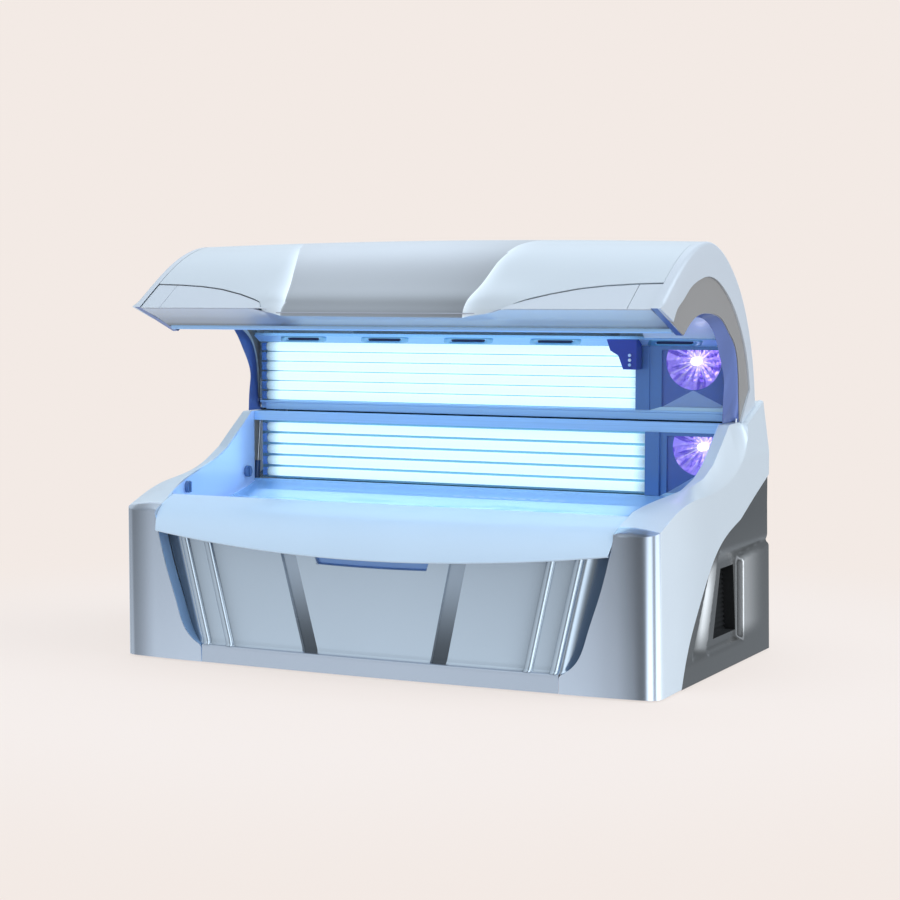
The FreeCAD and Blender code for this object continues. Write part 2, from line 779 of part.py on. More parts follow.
# Bowl of a face lamp whose axis runs along Y, with its open rim on the backing sheet
def face_bowl(x, y, z):
    radii = [face_radius * math.sqrt(n / 4) for n in range(5)]
    inner = [Vector(x + r, bowl_depth(y, r), z) for r in radii]
    outer = [Vector(x + r + face_shell * (r > 0), bowl_depth(y, r) + face_shell, z) for r in radii]
    edges = [smooth(outer), Part.makeLine(outer[-1], inner[-1]), smooth(inner[::-1]),
             Part.makeLine(inner[0], outer[0])]
    return Part.Face(Part.Wire(edges)).revolve(Vector(x, y, z), Vector(0, 1, 0), 360)


# Opening of a face lamp's frame, wider by a distance, between two depths
def face_window(x0, x1, z0, z1, grow, y0, y1):
    return block(x0 + divider_post - grow, x1 - face_border + grow, y0, y1,
                 z0 + face_border - grow, z1 - face_border + grow)


# Frame with its divider post, backing sheet and bowl; the bowl ends where it meets the frame's sides
def face_housing(x0, x1, post_x, post_front, post_back, face_x, face_z, y, z0, z1):
    low = z0 + play
    high = z1 - play
    back = y + glass_thick + 3
    plate = block(x0, x1, y - 2, back, low, high)
    plate = plate.cut([face_window(x0, x1, z0, z1, 0, y - 20, back + 1),
                       face_window(x0, x1, z0, z1, face_rebate, y, y + glass_thick)])
    sheet = block(x0, x1, back, back + 2, low, high)
    sheet = sheet.cut(rod(Vector(face_x, y - 20, face_z), Vector(face_x, y + 200, face_z), face_radius))
    bowl = face_bowl(face_x, y, face_z).common(block(x0 + 1, x1 - 1, y, y + 200, low + 1, high - 1))
    post_end = post_x + divider_post
    post = block(post_x, post_end, post_front, post_back, low, high)
    foot = block(x0, post_end, post_back - 1, y - 1, low, high)
    return plate.fuse([sheet, bowl, post, foot])


def face_bulb(x, y, z):
    end = bowl_depth(y, bulb_radius) - 2 * play
    return rod(Vector(x, end - bulb_length, z), Vector(x, end, z), bulb_radius)


def face_glass(x0, x1, y, z0, z1):
    return face_window(x0, x1, z0, z1, face_rebate - play, y + play, y + glass_thick - play)


# Ceiling over the head end, where the overhead lamps stop
def head_ceiling():
    return slab_x(strip(arch_line, 0, -acrylic_thick), canopy_divider, cap_inner - play)


# --- inner side walls ---


# Plan of the inner face of a side wall: it closes in towards the front
wall_plan = [(half_length - 184, -442), (half_length - 158, -330), (half_length - 112, -140),
             (sail_outer - sail_thick, 0)]


def wall_band(x_in, x_out):
    near = [(x - x_in, y) for x, y in wall_plan]
    far = [(x + x_out, y) for x, y in reversed(wall_plan)]
    return slab_z(outline(plan, near[0], near[1:], [(near[-1][0], wall_y - 8)], [(far[0][0], wall_y - 8)],
                          [far[0]], far[1:]), 500, 1000)


# Inner side wall of the head end, with the ledge that carries the bench acrylic
def inner_wall():
    foot = shifted(bench_line, -acrylic_thick - play)
    rim = [(-430, 652), (-300, 681), (-140, 704), (0, 739), (100, 783), (200, 852), (300, 928)]
    tall = outline(side, foot[0], foot[1:], [(wall_y - 8, wall_bottom - 10 - seam)],
                   [(wall_y - 8, rim[-1][1])], [rim[-1]], rim[-2::-1], [(foot[0][0], 640)])
    inside = half_length - 250
    plate = wall_band(0, sail_thick - play).common(slab_x(tall, inside, half_length))
    step = slab_x(strip(bench_line, -acrylic_thick - play, -acrylic_thick - play - ledge_thick),
                  inside, half_length)
    return plate.fuse(wall_band(ledge_width, sail_thick - play).common(step))


# Where a knob stands on the inner wall of the head end: its spot and the way out of the wall
def wall_spot(y, z):
    if y > wall_plan[-1][1]:
        return Vector(wall_plan[-1][0] - play, y, z), Vector(-1, 0, 0)
    curve = Part.BSplineCurve()
    curve.interpolate([plan(*p) for p in wall_plan])
    cross = curve.intersectCC(Part.Line(plan(0, y), plan(half_length, y)))[0]
    along = curve.tangent(curve.parameter(Vector(cross.X, cross.Y, 0)))[0]
    out = Vector(-along.y, along.x, 0)
    return Vector(cross.X, y, z) + out * play, out


# Round lock knob with a grip bar across it
def lock_knob(y, z):
    spot, out = wall_spot(y, z)
    disc = Part.makeCylinder(knob_radius, knob_depth, Vector(0, 0, 0), Vector(-1, 0, 0))
    grip = block(-knob_depth - knob_grip, -knob_depth, -5, 5, -knob_radius + 3, knob_radius - 3)
    knob = disc.fuse(grip)
    knob.rotate(Vector(0, 0, 0), Vector(0, 0, 1), math.degrees(math.atan2(-out.y, -out.x)))
    knob.translate(spot)
    return knob


# --- inside the base ---


def ballasts():
    low = frame_low + tube_height + pan_thick
    starts = [ballast_from_end - half_length + n * ballast_pitch for n in range(ballast_count)]
    return [block(start, start + ballast_width, -230, 0, low, low + 48) for start in starts]


def fan_housing():
    low = frame_low + tube_height + pan_thick
    drum = block(fan_x - 150, fan_x + 150, fan_y - 150, fan_y + 150, low, low + 110)
    drum = drum.cut(Part.makeCylinder(fan_radius + 8, 120, Vector(fan_x, fan_y, low + 6)))
    post = Part.makeCylinder(30, 40, Vector(fan_x, fan_y, low + 3))
    stub = Part.makeCylinder(5, 90, Vector(fan_x, fan_y, low + 3))
    return drum.fuse([post, stub])


def fan_rotor():
    low = frame_low + tube_height + pan_thick + 46
    hub = Part.makeCylinder(34, 50, Vector(fan_x, fan_y, low))
    hub = hub.cut(Part.makeCylinder(5 + play, 60, Vector(fan_x, fan_y, low - 1)))
    blades = []
    for n in range(fan_blades):
        blade = Part.makeBox(fan_radius - 30, 2.5, 40, Vector(30, -1.25, 0))
        blade.rotate(Vector(0, 0, 20), Vector(1, 0, 0), 32)
        blade.translate(Vector(0, 0, 5))
        blade.rotate(Vector(0, 0, 0), Vector(0, 0, 1), n * 360 / fan_blades)
        blade.translate(Vector(fan_x, fan_y, low))
        blades.append(blade)
    band = Part.makeCylinder(30.5, 50, Vector(fan_x, fan_y, low))
    return hub.fuse([blade.cut(band) for blade in blades])


def control_box():
    low = frame_low + tube_height + pan_thick
    left = box_from_end - half_length
    right = left + box_length
    case = block(left, right, 330, 530, low, low + 150)
    return case.cut(block(left + 2, right - 2, 332, 528, low - 1, low + 148))


def cable_gland():
    start = back_face - 8
    spot = lambda y: Vector(gland_x, y, gland_z)
    body = rod(spot(start - 16), spot(back_face), gland_body)
    nut = rod(spot(start - 12), spot(start - play), gland_body + 5)
    return body.fuse(nut).cut(rod(spot(start - 20), spot(back_face + 1), gland_bore))


def hinge_brackets():
    plate = outline(side, (pivot_y - 30, pivot_z - 420), [(pivot_y + 30, pivot_z - 420)],
                    [(pivot_y + 26, pivot_z)], [(pivot_y - 26, pivot_z)])
    plate = slab_x(plate, frame_x + play, bracket_x + bracket_thick).cut(
        block(frame_x - 1, bracket_x, pivot_y - 60, pivot_y + 60, pivot_z - 55, pivot_z + 60))
    boss = rod_x(bracket_x, bracket_x + bracket_thick, pivot_y, pivot_z, 30)
    return both(plate.fuse(boss).cut(rod_x(frame_x, arm_x, pivot_y, pivot_z, pin_radius)))


def hinge_pins():
    pin = rod_x(bracket_x, pin_end, pivot_y, pivot_z, pin_radius)
    head = rod_x(bracket_x - 6, bracket_x, pivot_y, pivot_z, pin_radius + 6)
    return both(pin.fuse(head))


# Gas spring of the head end: its line from the lower stud to the upper eye
def spring_way(share_start, share_end, radius):
    low = Vector(spring_x, spring_low_y, spring_low_z)
    way = Vector(0, spring_top_y - spring_low_y, spring_top_z - spring_low_z)
    way.normalize()
    return rod(low + way * share_start, low + way * share_end, radius)


def spring_length():
    return math.hypot(spring_top_y - spring_low_y, spring_top_z - spring_low_z)


def gas_spring_cylinder():
    body = spring_way(eye_radius, spring_body_length, spring_body_radius)
    eye = rod_x(spring_x - eye_thick / 2, spring_x + eye_thick / 2,
                spring_low_y, spring_low_z, eye_radius + 2)
    body = body.cut(spring_way(eye_radius + 12, spring_body_length - 14, spring_body_radius - 1.5))
    body = body.cut(spring_way(spring_body_length - 20, spring_body_length + 5, spring_rod_radius + play))
    bore = rod_x(spring_x - 20, spring_x + 20, spring_low_y, spring_low_z, eye_stud + play)
    return body.fuse(eye).cut(bore)


def gas_spring_rod():
    length = spring_length()
    shaft = spring_way(spring_body_length - 90, length - eye_radius, spring_rod_radius)
    piston = spring_way(spring_body_length - 100, spring_body_length - 84, spring_body_radius - 1.5 - play)
    bore = eye_stud + open_eye_play
    eye = rod_x(spring_x - eye_thick / 2, spring_x + eye_thick / 2, spring_top_y, spring_top_z, bore + 4)
    return shaft.fuse([piston, eye]).cut(
        rod_x(spring_x - 20, spring_x + 20, spring_top_y, spring_top_z, bore))


def cover_screws():
    screws = []
    heights = [(x, frame_low + tube_height / 2) for x in screw_places]
    heights += [(sign * (frame_x - post_width / 2), pivot_z - 80) for sign in (1, -1)]
    for x, z in heights:
        screws.append(rod(Vector(x, back_face - 5, z), Vector(x, back_face - 2, z), 5))
    return screws


# --- canopy ---


# Side of a crease line that the hood or a wing fills, as a tall slab
def crease_slab(crease, far_x, gap):
    points = [(x + gap, y) for x, y in crease]
    end = points[-1][0] + gap
    return slab_z(outline(plan, points[0], points[1:], [(end, 700)], [(far_x, 700)], [(far_x, points[0][1])]),
                  900, 1700)


def hood_line():
    return [(-500, hood_edge_z), (-497, 1376)] + canopy_line[1:]


# The skin's line at a place along the bed: it rises to the crown in the middle, and keeps its nose and foot
def crowned(points, x):
    rise = crown_height * (1 - (x / cap_inner) ** 2)
    low = canopy_line[0][1]
    high = max(z for y, z in canopy_line)
    shares = [min(max((z - low) / (high - low), 0), 1) for y, z in points]
    return [(y, z + rise * share * share * (3 - 2 * share)) for (y, z), share in zip(points, shares)]


# Crowned skin between two places along the bed
def skin(points, x0, x1):
    wires = []
    for n in range(5):
        x = between(x0, x1, n / 4)
        line = crowned(points, x)
        there = shifted(line, 0)
        back = shifted(line, -canopy_wall)[::-1]
        spot = lambda y, z, x=x: Vector(x, y, z)
        wires.append(outline(spot, there[0], there[1:], [back[0]], back[1:]))
    return Part.makeLoft(wires, True, False)


def shroud():
    lower = -50.0
    upper = 42.5
    ring = ring_x(-cap_inner + 2, cap_inner - 2, pivot_y, pivot_z, shroud_radius, shroud_radius - canopy_wall)
    far = 200.0
    spread = [side(pivot_y, pivot_z)]
    for n in range(4):
        angle = math.radians(lower + (upper - lower) * n / 3)
        spread.append(side(pivot_y + far * math.cos(angle), pivot_z + far * math.sin(angle)))
    wedge = Part.Face(Part.makePolygon(spread + [spread[0]])).extrude(Vector(2 * cap_inner, 0, 0))
    wedge.translate(Vector(-cap_inner, 0, 0))
    return ring.common(wedge)


def canopy_hood():
    band = skin(hood_line(), -800, 800)
    right = crease_slab(right_crease, -900, -seam / 2)
    left = crease_slab(left_crease, 900, seam / 2)
    return band.common(right).common(left)


# Line between a wing and the trim under it: height of the wing edge along X
wing_heights = [(0, 1388), (0.074, 1408), (0.244, 1431), (0.424, 1449), (0.611, 1460), (0.821, 1467),
                (1.074, 1470)]
wing_edge = [(between(trim_inner, cap_inner, share), z) for share, z in wing_heights]


def under_wing(grow, sign):
    points = [(sign * x, z + grow) for x, z in wing_edge]
    wire = outline(front, (points[0][0], 1200), [points[0]], points[1:], [(points[-1][0], 1200)])
    return slab_y(wire, -700, -300)


def canopy_wing(sign, crease):
    x0, x1 = sorted((sign * 250, sign * (cap_inner - seam)))
    band = skin(canopy_line, x0, x1)
    return band.common(crease_slab(crease, sign * 1200, sign * seam / 2)).cut(under_wing(0, sign))


def corner_trim(sign):
    x0, x1 = sorted((sign * (trim_inner + seam), sign * (cap_inner - seam)))
    return skin(canopy_line, x0, x1).common(under_wing(-seam, sign))


# Soffit behind the tip, the rail at its inner edge and the ledge that carries the acrylic
def canopy_front_rail():
    reach = cap_inner - play
    line = [(-510, 1373), (-400, 1338), (-300, 1298)]
    under = outline(side, line[0], [line[1]], [line[2]], [(-300, 1302)], [(-400, 1342)], [(-506, 1376)])
    sheet = slab_x(under, -reach, reach)
    rail = block(-reach, reach, -302, -268, 1288, 1322)
    rail = rail.cut(block(-reach - 1, reach + 1, -299, -271, 1291, 1319))
    behind_hood = block(left_crease[0][0] - 20, right_crease[-1][0] + 20, -520, -490, 1330, 1400)
    return sheet.cut(behind_hood).fuse(rail)


# Region of an end cap between the outer skin line and its inner edge, seen from the end
def cap_wire(x, inner_line, outset, inset):
    spot = lambda y, z: Vector(x, y, z)
    outer = shifted(canopy_line, -outset)
    inner = shifted(inner_line, inset)
    angle = math.radians(-140)
    radius = shroud_radius - outset
    heel = (pivot_y + radius * math.cos(angle), pivot_z + radius * math.sin(angle))
    low = (pivot_y, pivot_z - radius)
    knee = (pivot_y + radius, pivot_z)
    return outline(spot, outer[0], outer[1:], [knee, low, heel], [inner[-1]], inner[-2::-1])


def cap_mass(inset):
    levels = ((cap_inner - inset, blade_line, inset), (cap_inner + 16, blade_line, inset),
              (cap_outer - cap_bevel, mouth_line, inset), (cap_outer - inset, mouth_line, inset + cap_bevel))
    wires = [cap_wire(x, line, out, inset) for x, line, out in levels]
    return Part.makeLoft(wires, True, True)


def canopy_end_cap():
    mass = cap_mass(0)
    face = face_region(0)
    recess = cap_outer - cap_face_depth - canopy_wall
    hollow = cap_mass(canopy_wall).cut(block(recess, half_length + 50, -700, 700, 900, 1700))
    open_foot = block(cap_inner + 2, recess, 306, 500, 850, 936)
    return mass.cut([face, hollow, open_foot])


# Same line with its two ends drawn in by a distance
def drawn_in(points, distance):
    curve = Part.BSplineCurve()
    curve.interpolate([side(*p) for p in points])
    first = curve.value(curve.parameterAtDistance(distance, curve.FirstParameter))
    last = curve.value(curve.parameterAtDistance(-distance, curve.LastParameter))
    return [(first.y, first.z)] + points[1:-1] + [(last.y, last.z)]


# Recess of the dark end face, from the light rim to the mouth of the tunnel
def face_region(gap):
    outer = drawn_in(shifted(face_outer, -gap), gap)
    inner = drawn_in(shifted(mouth_line, gap), gap)
    wire = outline(side, outer[0], outer[1:], [inner[-1]], inner[-2::-1])
    return slab_x(wire, cap_outer - cap_face_depth, cap_outer + 5)


def canopy_end_face():
    low = cap_outer - cap_face_depth
    return face_region(2 * seam).common(block(low, low + cap_face_thick, -700, 700, 900, 1700))


# Cross bar of the canopy that stands on a surface, at a place along its line
def cross_bar(y, z, angle, wall):
    half = canopy_tube / 2 - wall
    reach = arm_x + 1 - 2 * wall
    bar = block(-reach, reach, -half, half, wall - canopy_tube, -wall)
    bar.rotate(Vector(0, 0, 0), Vector(1, 0, 0), angle)
    bar.translate(Vector(0, y, z))
    return bar


# Two arms on the hinge pins, with the bars that carry the skin, the reflectors and the bottom rail
def canopy_frame():
    arm = slab_x(strip(shifted(canopy_line[1:], -20), 0, -60), arm_x, arm_x + arm_thick)
    root = outline(side, (pivot_y - 40, pivot_z - 10), [(pivot_y + 40, pivot_z - 10)], [(pivot_y + 32, 1060)],
                   [(spring_top_y - 20, 1060)], [(spring_top_y - 20, spring_top_z - 20)])
    root = slab_x(root, arm_x, arm_x + arm_thick)
    hub = rod_x(arm_x, arm_x + arm_thick + 6, pivot_y, pivot_z, 40)
    stud = rod_x(arm_x, spring_x + eye_thick / 2 + 1, spring_top_y, spring_top_z, eye_stud)
    pieces = [root, hub, stud]
    for y, z, angle in spaced(shifted(canopy_line, -70), 5, 260):
        pieces.append(rod_x(arm_x, cap_outer - cap_face_depth - canopy_wall - play, y, z, 8))
    arch_back = shifted(arch_line, -lamp_depth() - reflector_thick - play)
    arch_places = spaced(arch_back, arch_bar_count, arch_bar_pitch)
    for y, z, angle in arch_places:
        pieces.append(block(arm_x, arm_x + arm_thick, y - 14, y + 14, z, z + 140))
    one = arm.fuse(pieces).cut(rod_x(arm_x - 1, pin_end + 2, pivot_y, pivot_z, pin_radius + pin_play))
    bars = both(one)
    skin_places = spaced(shifted(canopy_line, -canopy_wall - 2 * play), skin_bar_count, skin_bar_pitch)
    cores = []
    for y, z, angle in skin_places + arch_places:
        bars.append(cross_bar(y, z, angle, 0))
        cores.append(cross_bar(y, z, angle, tube_wall))
    low_bar = block(-arm_x, arm_x, 478 + play, 478 + play + canopy_tube, 938, 938 + canopy_tube)
    cores.append(tube_core(low_bar))
    hood_room = slab_x(strip(hood_line(), play, -canopy_wall - play), -arm_x, arm_x)
    return bars[0].fuse(bars[1:] + [low_bar]).cut(cores + [hood_room])


# --- control pod ---


# Pod that hangs under the air slots with its foot at the divider, its front face to the person in the bed
def control_pod():
    left = pod_right - pod_width
    foot = pod_right - pod_foot
    body = outline(front, (left, 1262), [(pod_right, 1262)], [(pod_right, pod_bottom)], [(foot, pod_bottom)],
                   [(foot - 20, pod_bottom + 54)], [(left + 20, pod_bottom + 74)])
    body = slab_y(body, pod_front, pod_back)
    above = outline(side, (300, 1250), [(347, 1250.4)], [(400, 1219.9)], [(400, 1400)], [(300, 1400)])
    above = slab_x(above, left - 1, pod_right + 1)
    return body.cut([above] + [button_mass(n, play, button_travel) for n in range(len(button_names))])


# A round button, or the hole it travels in
def button_mass(n, grow, travel):
    spot = Vector(pod_right - pod_foot / 2, pod_front - 4 - grow, pod_bottom + 18 + n * button_step)
    return Part.makeCylinder(button_radius + grow, button_length + 2 * grow + travel, spot, Vector(0, 1, 0))


def build():
    parts = {}
    mass = side_mass(0)
    cover = side_cover(mass, side_mass(cover_wall))
    panel = side_panel(mass)
    parts["base_frame"] = [base_frame()]
    parts["levelling_feet"] = levelling_feet()
    parts["floor_pan"] = [floor_pan()]
    parts["side_cover_right"] = [cover]
    parts["side_cover_left"] = [mirrored(cover)]
    parts["side_panel_right"] = [panel]
    parts["side_panel_left"] = [mirrored(panel)]
    parts["side_vents"] = both(side_vent())
    parts["front_plinth"] = [plinth()]
    parts["front_lip"] = [front_lip()]
    parts["front_panel"] = [front_panel()]
    parts["rear_cover"] = [rear_cover()]
    parts["bench_acrylic"] = [bench_acrylic()]
    parts["wall_acrylic"] = [wall_acrylic()]
    parts["base_reflectors"] = [bench_reflector(), wall_reflector()]
    base_places = bench_lamp_places() + wall_lamp_places()
    parts["base_lamps"] = [lamp(base_lamp_middle, y, z) for y, z, angle in base_places]
    parts["base_lampholders"] = [h for y, z, angle in base_places
                                 for h in lampholders(base_lamp_middle, y, z, angle)]
    parts["base_rails"] = base_rails()
    parts["inner_walls"] = both(inner_wall())
    face_end = sail_outer - 6
    post_back = wall_y - acrylic_thick / 2 - play
    parts["base_face_housing"] = [face_housing(base_divider, face_end, base_divider - 28,
                                               post_back - base_divider_thick, post_back,
                                               base_face_x, base_face_z, wall_y, wall_bottom, wall_top)]
    parts["base_face_bulb"] = [face_bulb(base_face_x, wall_y, base_face_z)]
    parts["base_face_glass"] = [face_glass(base_divider, face_end, wall_y, wall_bottom, wall_top)]
    parts["ballasts"] = ballasts()
    parts["fan_housing"] = [fan_housing()]
    parts["fan_rotor"] = [fan_rotor()]
    parts["control_box"] = [control_box()]
    parts["cable_gland"] = [cable_gland()]
    parts["hinge_brackets"] = hinge_brackets()
    parts["hinge_pins"] = hinge_pins()
    parts["cover_screws"] = cover_screws()
    cylinder = gas_spring_cylinder()
    plunger = gas_spring_rod()
    parts["gas_spring_cylinder_right"] = [cylinder]
    parts["gas_spring_cylinder_left"] = [mirrored(cylinder)]
    parts["gas_spring_rod_right"] = [plunger]
    parts["gas_spring_rod_left"] = [mirrored(plunger)]
    for n, (y, z) in enumerate(knob_places):
        parts["lock_knob_right_" + str(n + 1)] = [lock_knob(y, z)]
        parts["lock_knob_left_" + str(n + 1)] = [mirrored(lock_knob(y, z))]
    parts["canopy_frame"] = [canopy_frame()]
    parts["canopy_hood"] = [canopy_hood()]
    parts["canopy_shroud"] = [shroud()]
    parts["canopy_wing_right"] = [canopy_wing(1, right_crease)]
    parts["canopy_wing_left"] = [canopy_wing(-1, left_crease)]
    parts["corner_trims"] = [corner_trim(1), corner_trim(-1)]
    parts["canopy_front_rail"] = [canopy_front_rail()]
    cap = canopy_end_cap()
    parts["canopy_end_cap_right"] = [cap]
    parts["canopy_end_cap_left"] = [mirrored(cap)]
    parts["canopy_end_faces"] = both(canopy_end_face())
    parts["canopy_reflector"] = canopy_reflector()
    canopy_places = canopy_wall_lamp_places() + overhead_lamp_places()
    parts["canopy_lamps"] = [lamp(canopy_lamp_middle, y, z) for y, z, angle in canopy_places]
    parts["canopy_lampholders"] = [h for y, z, angle in canopy_places
                                   for h in lampholders(canopy_lamp_middle, y, z, angle)]
    parts["canopy_acrylic"] = canopy_acrylic()
    parts["canopy_rear_rail"] = canopy_rear_rail()
    face_end = cap_inner - play
    post_back = canopy_wall_y - 2
    parts["canopy_face_housing"] = [face_housing(canopy_divider, face_end, canopy_divider - 50,
                                                 post_back - canopy_divider_thick, post_back,
                                                 canopy_face_x, canopy_face_z, canopy_wall_y,
                                                 canopy_wall_bottom, canopy_wall_top), head_ceiling()]
    parts["canopy_face_bulb"] = [face_bulb(canopy_face_x, canopy_wall_y, canopy_face_z)]
    parts["canopy_face_glass"] = [face_glass(canopy_divider, face_end, canopy_wall_y, canopy_wall_bottom,
                                             canopy_wall_top)]
    parts["control_pod"] = [control_pod()]
    for n, name in enumerate(button_names):
        parts[name] = [button_mass(n, 0, 0)]
    return parts


os.makedirs("parts", exist_ok=True)
for name, solids in build().items():
    shape = solids[0] if len(solids) == 1 else Part.makeCompound(solids)
    shape.exportStep("parts/" + name + ".step")
    print(name, len(shape.Solids), round(shape.Volume / 1000), shape.isValid())
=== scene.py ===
import math
import bmesh
import bpy
import numpy as np
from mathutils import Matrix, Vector


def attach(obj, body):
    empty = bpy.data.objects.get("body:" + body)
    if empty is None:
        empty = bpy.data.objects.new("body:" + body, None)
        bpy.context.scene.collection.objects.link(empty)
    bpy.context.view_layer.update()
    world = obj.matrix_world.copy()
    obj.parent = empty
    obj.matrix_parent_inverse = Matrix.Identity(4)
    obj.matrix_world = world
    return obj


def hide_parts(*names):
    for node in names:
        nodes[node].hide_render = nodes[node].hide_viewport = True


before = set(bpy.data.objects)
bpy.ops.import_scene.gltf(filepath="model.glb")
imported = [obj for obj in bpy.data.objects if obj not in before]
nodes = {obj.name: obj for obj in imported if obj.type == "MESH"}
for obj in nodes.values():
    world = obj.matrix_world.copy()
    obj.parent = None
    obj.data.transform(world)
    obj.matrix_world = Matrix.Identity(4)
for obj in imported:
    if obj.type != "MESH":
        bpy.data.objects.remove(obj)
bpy.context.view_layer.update()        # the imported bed, in metres, with its canopy open


# ---- lines and grids

def smoothStep(low, high, value):   # 0 below low, 1 above high, a soft S between
    share = np.clip((value - low) / (high - low), 0, 1)
    return share * share * (3 - 2 * share)


def evenly(line, count):   # the same line with its points at even steps of its own length
    gone = np.concatenate([[0], np.cumsum(np.linalg.norm(np.diff(line, axis=0), axis=1))])
    at = np.linspace(0, gone[-1], count)
    return np.stack([np.interp(at, gone, line[:, k]) for k in range(line.shape[1])], 1)


def curveThrough(points, count):
    # natural cubic spline: chord length is the parameter, and the bend at each point solves one linear system
    p = np.array(points, float)
    t = np.concatenate([[0], np.cumsum(np.linalg.norm(np.diff(p, axis=0), axis=1))])
    h = np.diff(t)
    system, wanted = np.eye(len(t)), np.zeros_like(p)
    i = np.arange(1, len(t) - 1)
    system[i, i - 1], system[i, i], system[i, i + 1] = h[:-1], 2 * (h[:-1] + h[1:]), h[1:]
    wanted[1:-1] = 6 * (np.diff(p, axis=0)[1:] / h[1:, None] - np.diff(p, axis=0)[:-1] / h[:-1, None])
    bend = np.linalg.solve(system, wanted)
    fine = np.linspace(0, t[-1], count * 6)
    k = np.clip(np.searchsorted(t, fine, side="right") - 1, 0, len(h) - 1)
    a, b, step = (t[k + 1] - fine)[:, None], (fine - t[k])[:, None], h[k][:, None]
    line = (bend[k] * a ** 3 + bend[k + 1] * b ** 3) / (6 * step) \
        + (p[k] / step - bend[k] * step / 6) * a + (p[k + 1] / step - bend[k + 1] * step / 6) * b
    return evenly(line, count)


def leftOf(line):   # unit normals of a flat line, to the left of its travel
    way = np.gradient(line, axis=0)
    way /= np.linalg.norm(way, axis=1)[:, None]
    return np.stack([-way[:, 1], way[:, 0]], 1)


def gridOf(x, y, z):
    return np.stack(np.broadcast_arrays(x, y, z), -1).astype(float)


def along(table, at):   # value of a table of points, between its points on a straight line
    return np.interp(at, *np.array(table, float).T)


def places(items, key):   # positions of a mesh's vertices or faces, one row each
    flat = np.zeros(len(items) * 3)
    items.foreach_get(key, flat)
    return flat.reshape(-1, 3)


def intoScene(name, data):
    item = bpy.data.objects.new(name, data)
    bpy.context.scene.collection.objects.link(item)
    return item


def gridFaces(rows, cols, start, turned):
    at = np.arange(rows * cols).reshape(rows, cols) + start
    quads = np.stack([at[:-1, :-1], at[1:, :-1], at[1:, 1:], at[:-1, 1:]], -1).reshape(-1, 4)
    return quads[:, ::-1] if turned else quads


def pointsAway(grid, inside):   # true where the grid's mean normal looks away from the inside point
    a = grid[1:, :-1] - grid[:-1, :-1]
    b = grid[:-1, 1:] - grid[:-1, :-1]
    return np.sum(np.cross(a, b) * (grid[:-1, :-1] - np.array(inside, float))) > 0


def meshPiece(name, patches, inside, weld=0.00012, sharp=32, skip=None):
    # every patch is a grid of points; its faces are turned to look away from the inside point
    points, faces, start = [], [], 0
    for n, patch in enumerate(patches):
        centre = inside[n] if isinstance(inside, list) else inside
        quads = gridFaces(*patch.shape[:2], start, not pointsAway(patch, centre))
        if skip is not None and skip[n] is not None:
            quads = quads[~skip[n].ravel()]
        points.append(patch.reshape(-1, 3))
        faces.append(quads)
        start += patch.shape[0] * patch.shape[1]
    mesh = bpy.data.meshes.new(name)
    mesh.from_pydata(np.concatenate(points).tolist(), [], np.concatenate(faces).tolist())
    mesh.update()
    loose = bmesh.new()
    loose.from_mesh(mesh)
    bmesh.ops.remove_doubles(loose, verts=loose.verts, dist=weld)
    bmesh.ops.dissolve_degenerate(loose, edges=loose.edges, dist=1e-6)
    loose.to_mesh(mesh)
    loose.free()
    mesh.polygons.foreach_set("use_smooth", np.ones(len(mesh.polygons), bool))
    mesh.set_sharp_from_angle(angle=math.radians(sharp))
    return intoScene(name, mesh)


def wall(piece, thick, round_=0.001, steps=2, limit=40):
    solid = piece.modifiers.new("wall", "SOLIDIFY")
    solid.thickness, solid.offset = thick, -1
    if round_:
        edge = piece.modifiers.new("edge", "BEVEL")
        edge.width, edge.segments, edge.limit_method = round_, steps, "ANGLE"
        edge.angle_limit, edge.harden_normals = math.radians(limit), True
    return piece


def settle(piece, body, finish, slot, *replaced):
    piece.data.materials.clear()
    piece.data.materials.append(finish)
    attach(piece, body)
    if replaced:
        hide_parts(*replaced)
    return piece


# painted light: the tone attribute carries painted highlights and painted shade, one value for each vertex
def paintedLightLayer(piece, paintedLightAt, mirrored=True):   # one tone value for each vertex, worked out from its place
    x, y, z = places(piece.data.vertices, "co").T
    tone = np.broadcast_to(paintedLightAt(np.abs(x) if mirrored else x, y, z), x.shape)
    piece.data.attributes.new("tone", "FLOAT", "POINT").data.foreach_set("value", tone.astype(np.float32))


def secondFinish(mesh, look, chosen):   # another finish on the faces whose middles the test picks
    mesh.materials.append(looks[look])
    index = np.zeros(len(mesh.polygons), np.int32)
    mesh.polygons.foreach_get("material_index", index)
    index[chosen(*places(mesh.polygons, "center").T)] = len(mesh.materials) - 1
    mesh.polygons.foreach_set("material_index", index)


# ---- finishes

def feed(tree, node, inputs):   # each input gets a value or another node's output
    for socket, value in inputs.items():
        if isinstance(value, bpy.types.NodeSocket):
            tree.links.new(value, node.inputs[socket])
        else:
            node.inputs[socket].default_value = value


def add(tree, kind, inputs=None, **settings):
    # new shader node: settings go on the node, inputs on its sockets
    node = tree.nodes.new("ShaderNode" + kind)
    for name, value in settings.items():
        setattr(node, name, value)
    feed(tree, node, inputs or {})
    return node


def newFinish(name):
    finish = bpy.data.materials.new(name)
    finish.use_nodes = True
    tree = finish.node_tree
    return finish, tree, tree.nodes["Principled BSDF"], add(tree, "TexCoord").outputs["Object"]


def noise(tree, where, scale, detail=3.0, stretch=None):
    if stretch:
        where = add(tree, "Mapping", {"Vector": where, "Scale": stretch}).outputs["Vector"]
    return add(tree, "TexNoise", {"Vector": where, "Scale": scale, "Detail": detail}).outputs["Fac"]


def ramp(tree, source, stops):
    band = add(tree, "ValToRGB", {"Fac": source})
    elements = band.color_ramp.elements
    while len(elements) < len(stops):
        elements.new(0.5)
    for element, (at, colour) in zip(elements, stops):
        element.position = at
        element.color = (*colour, 1)
    return band.outputs["Color"]


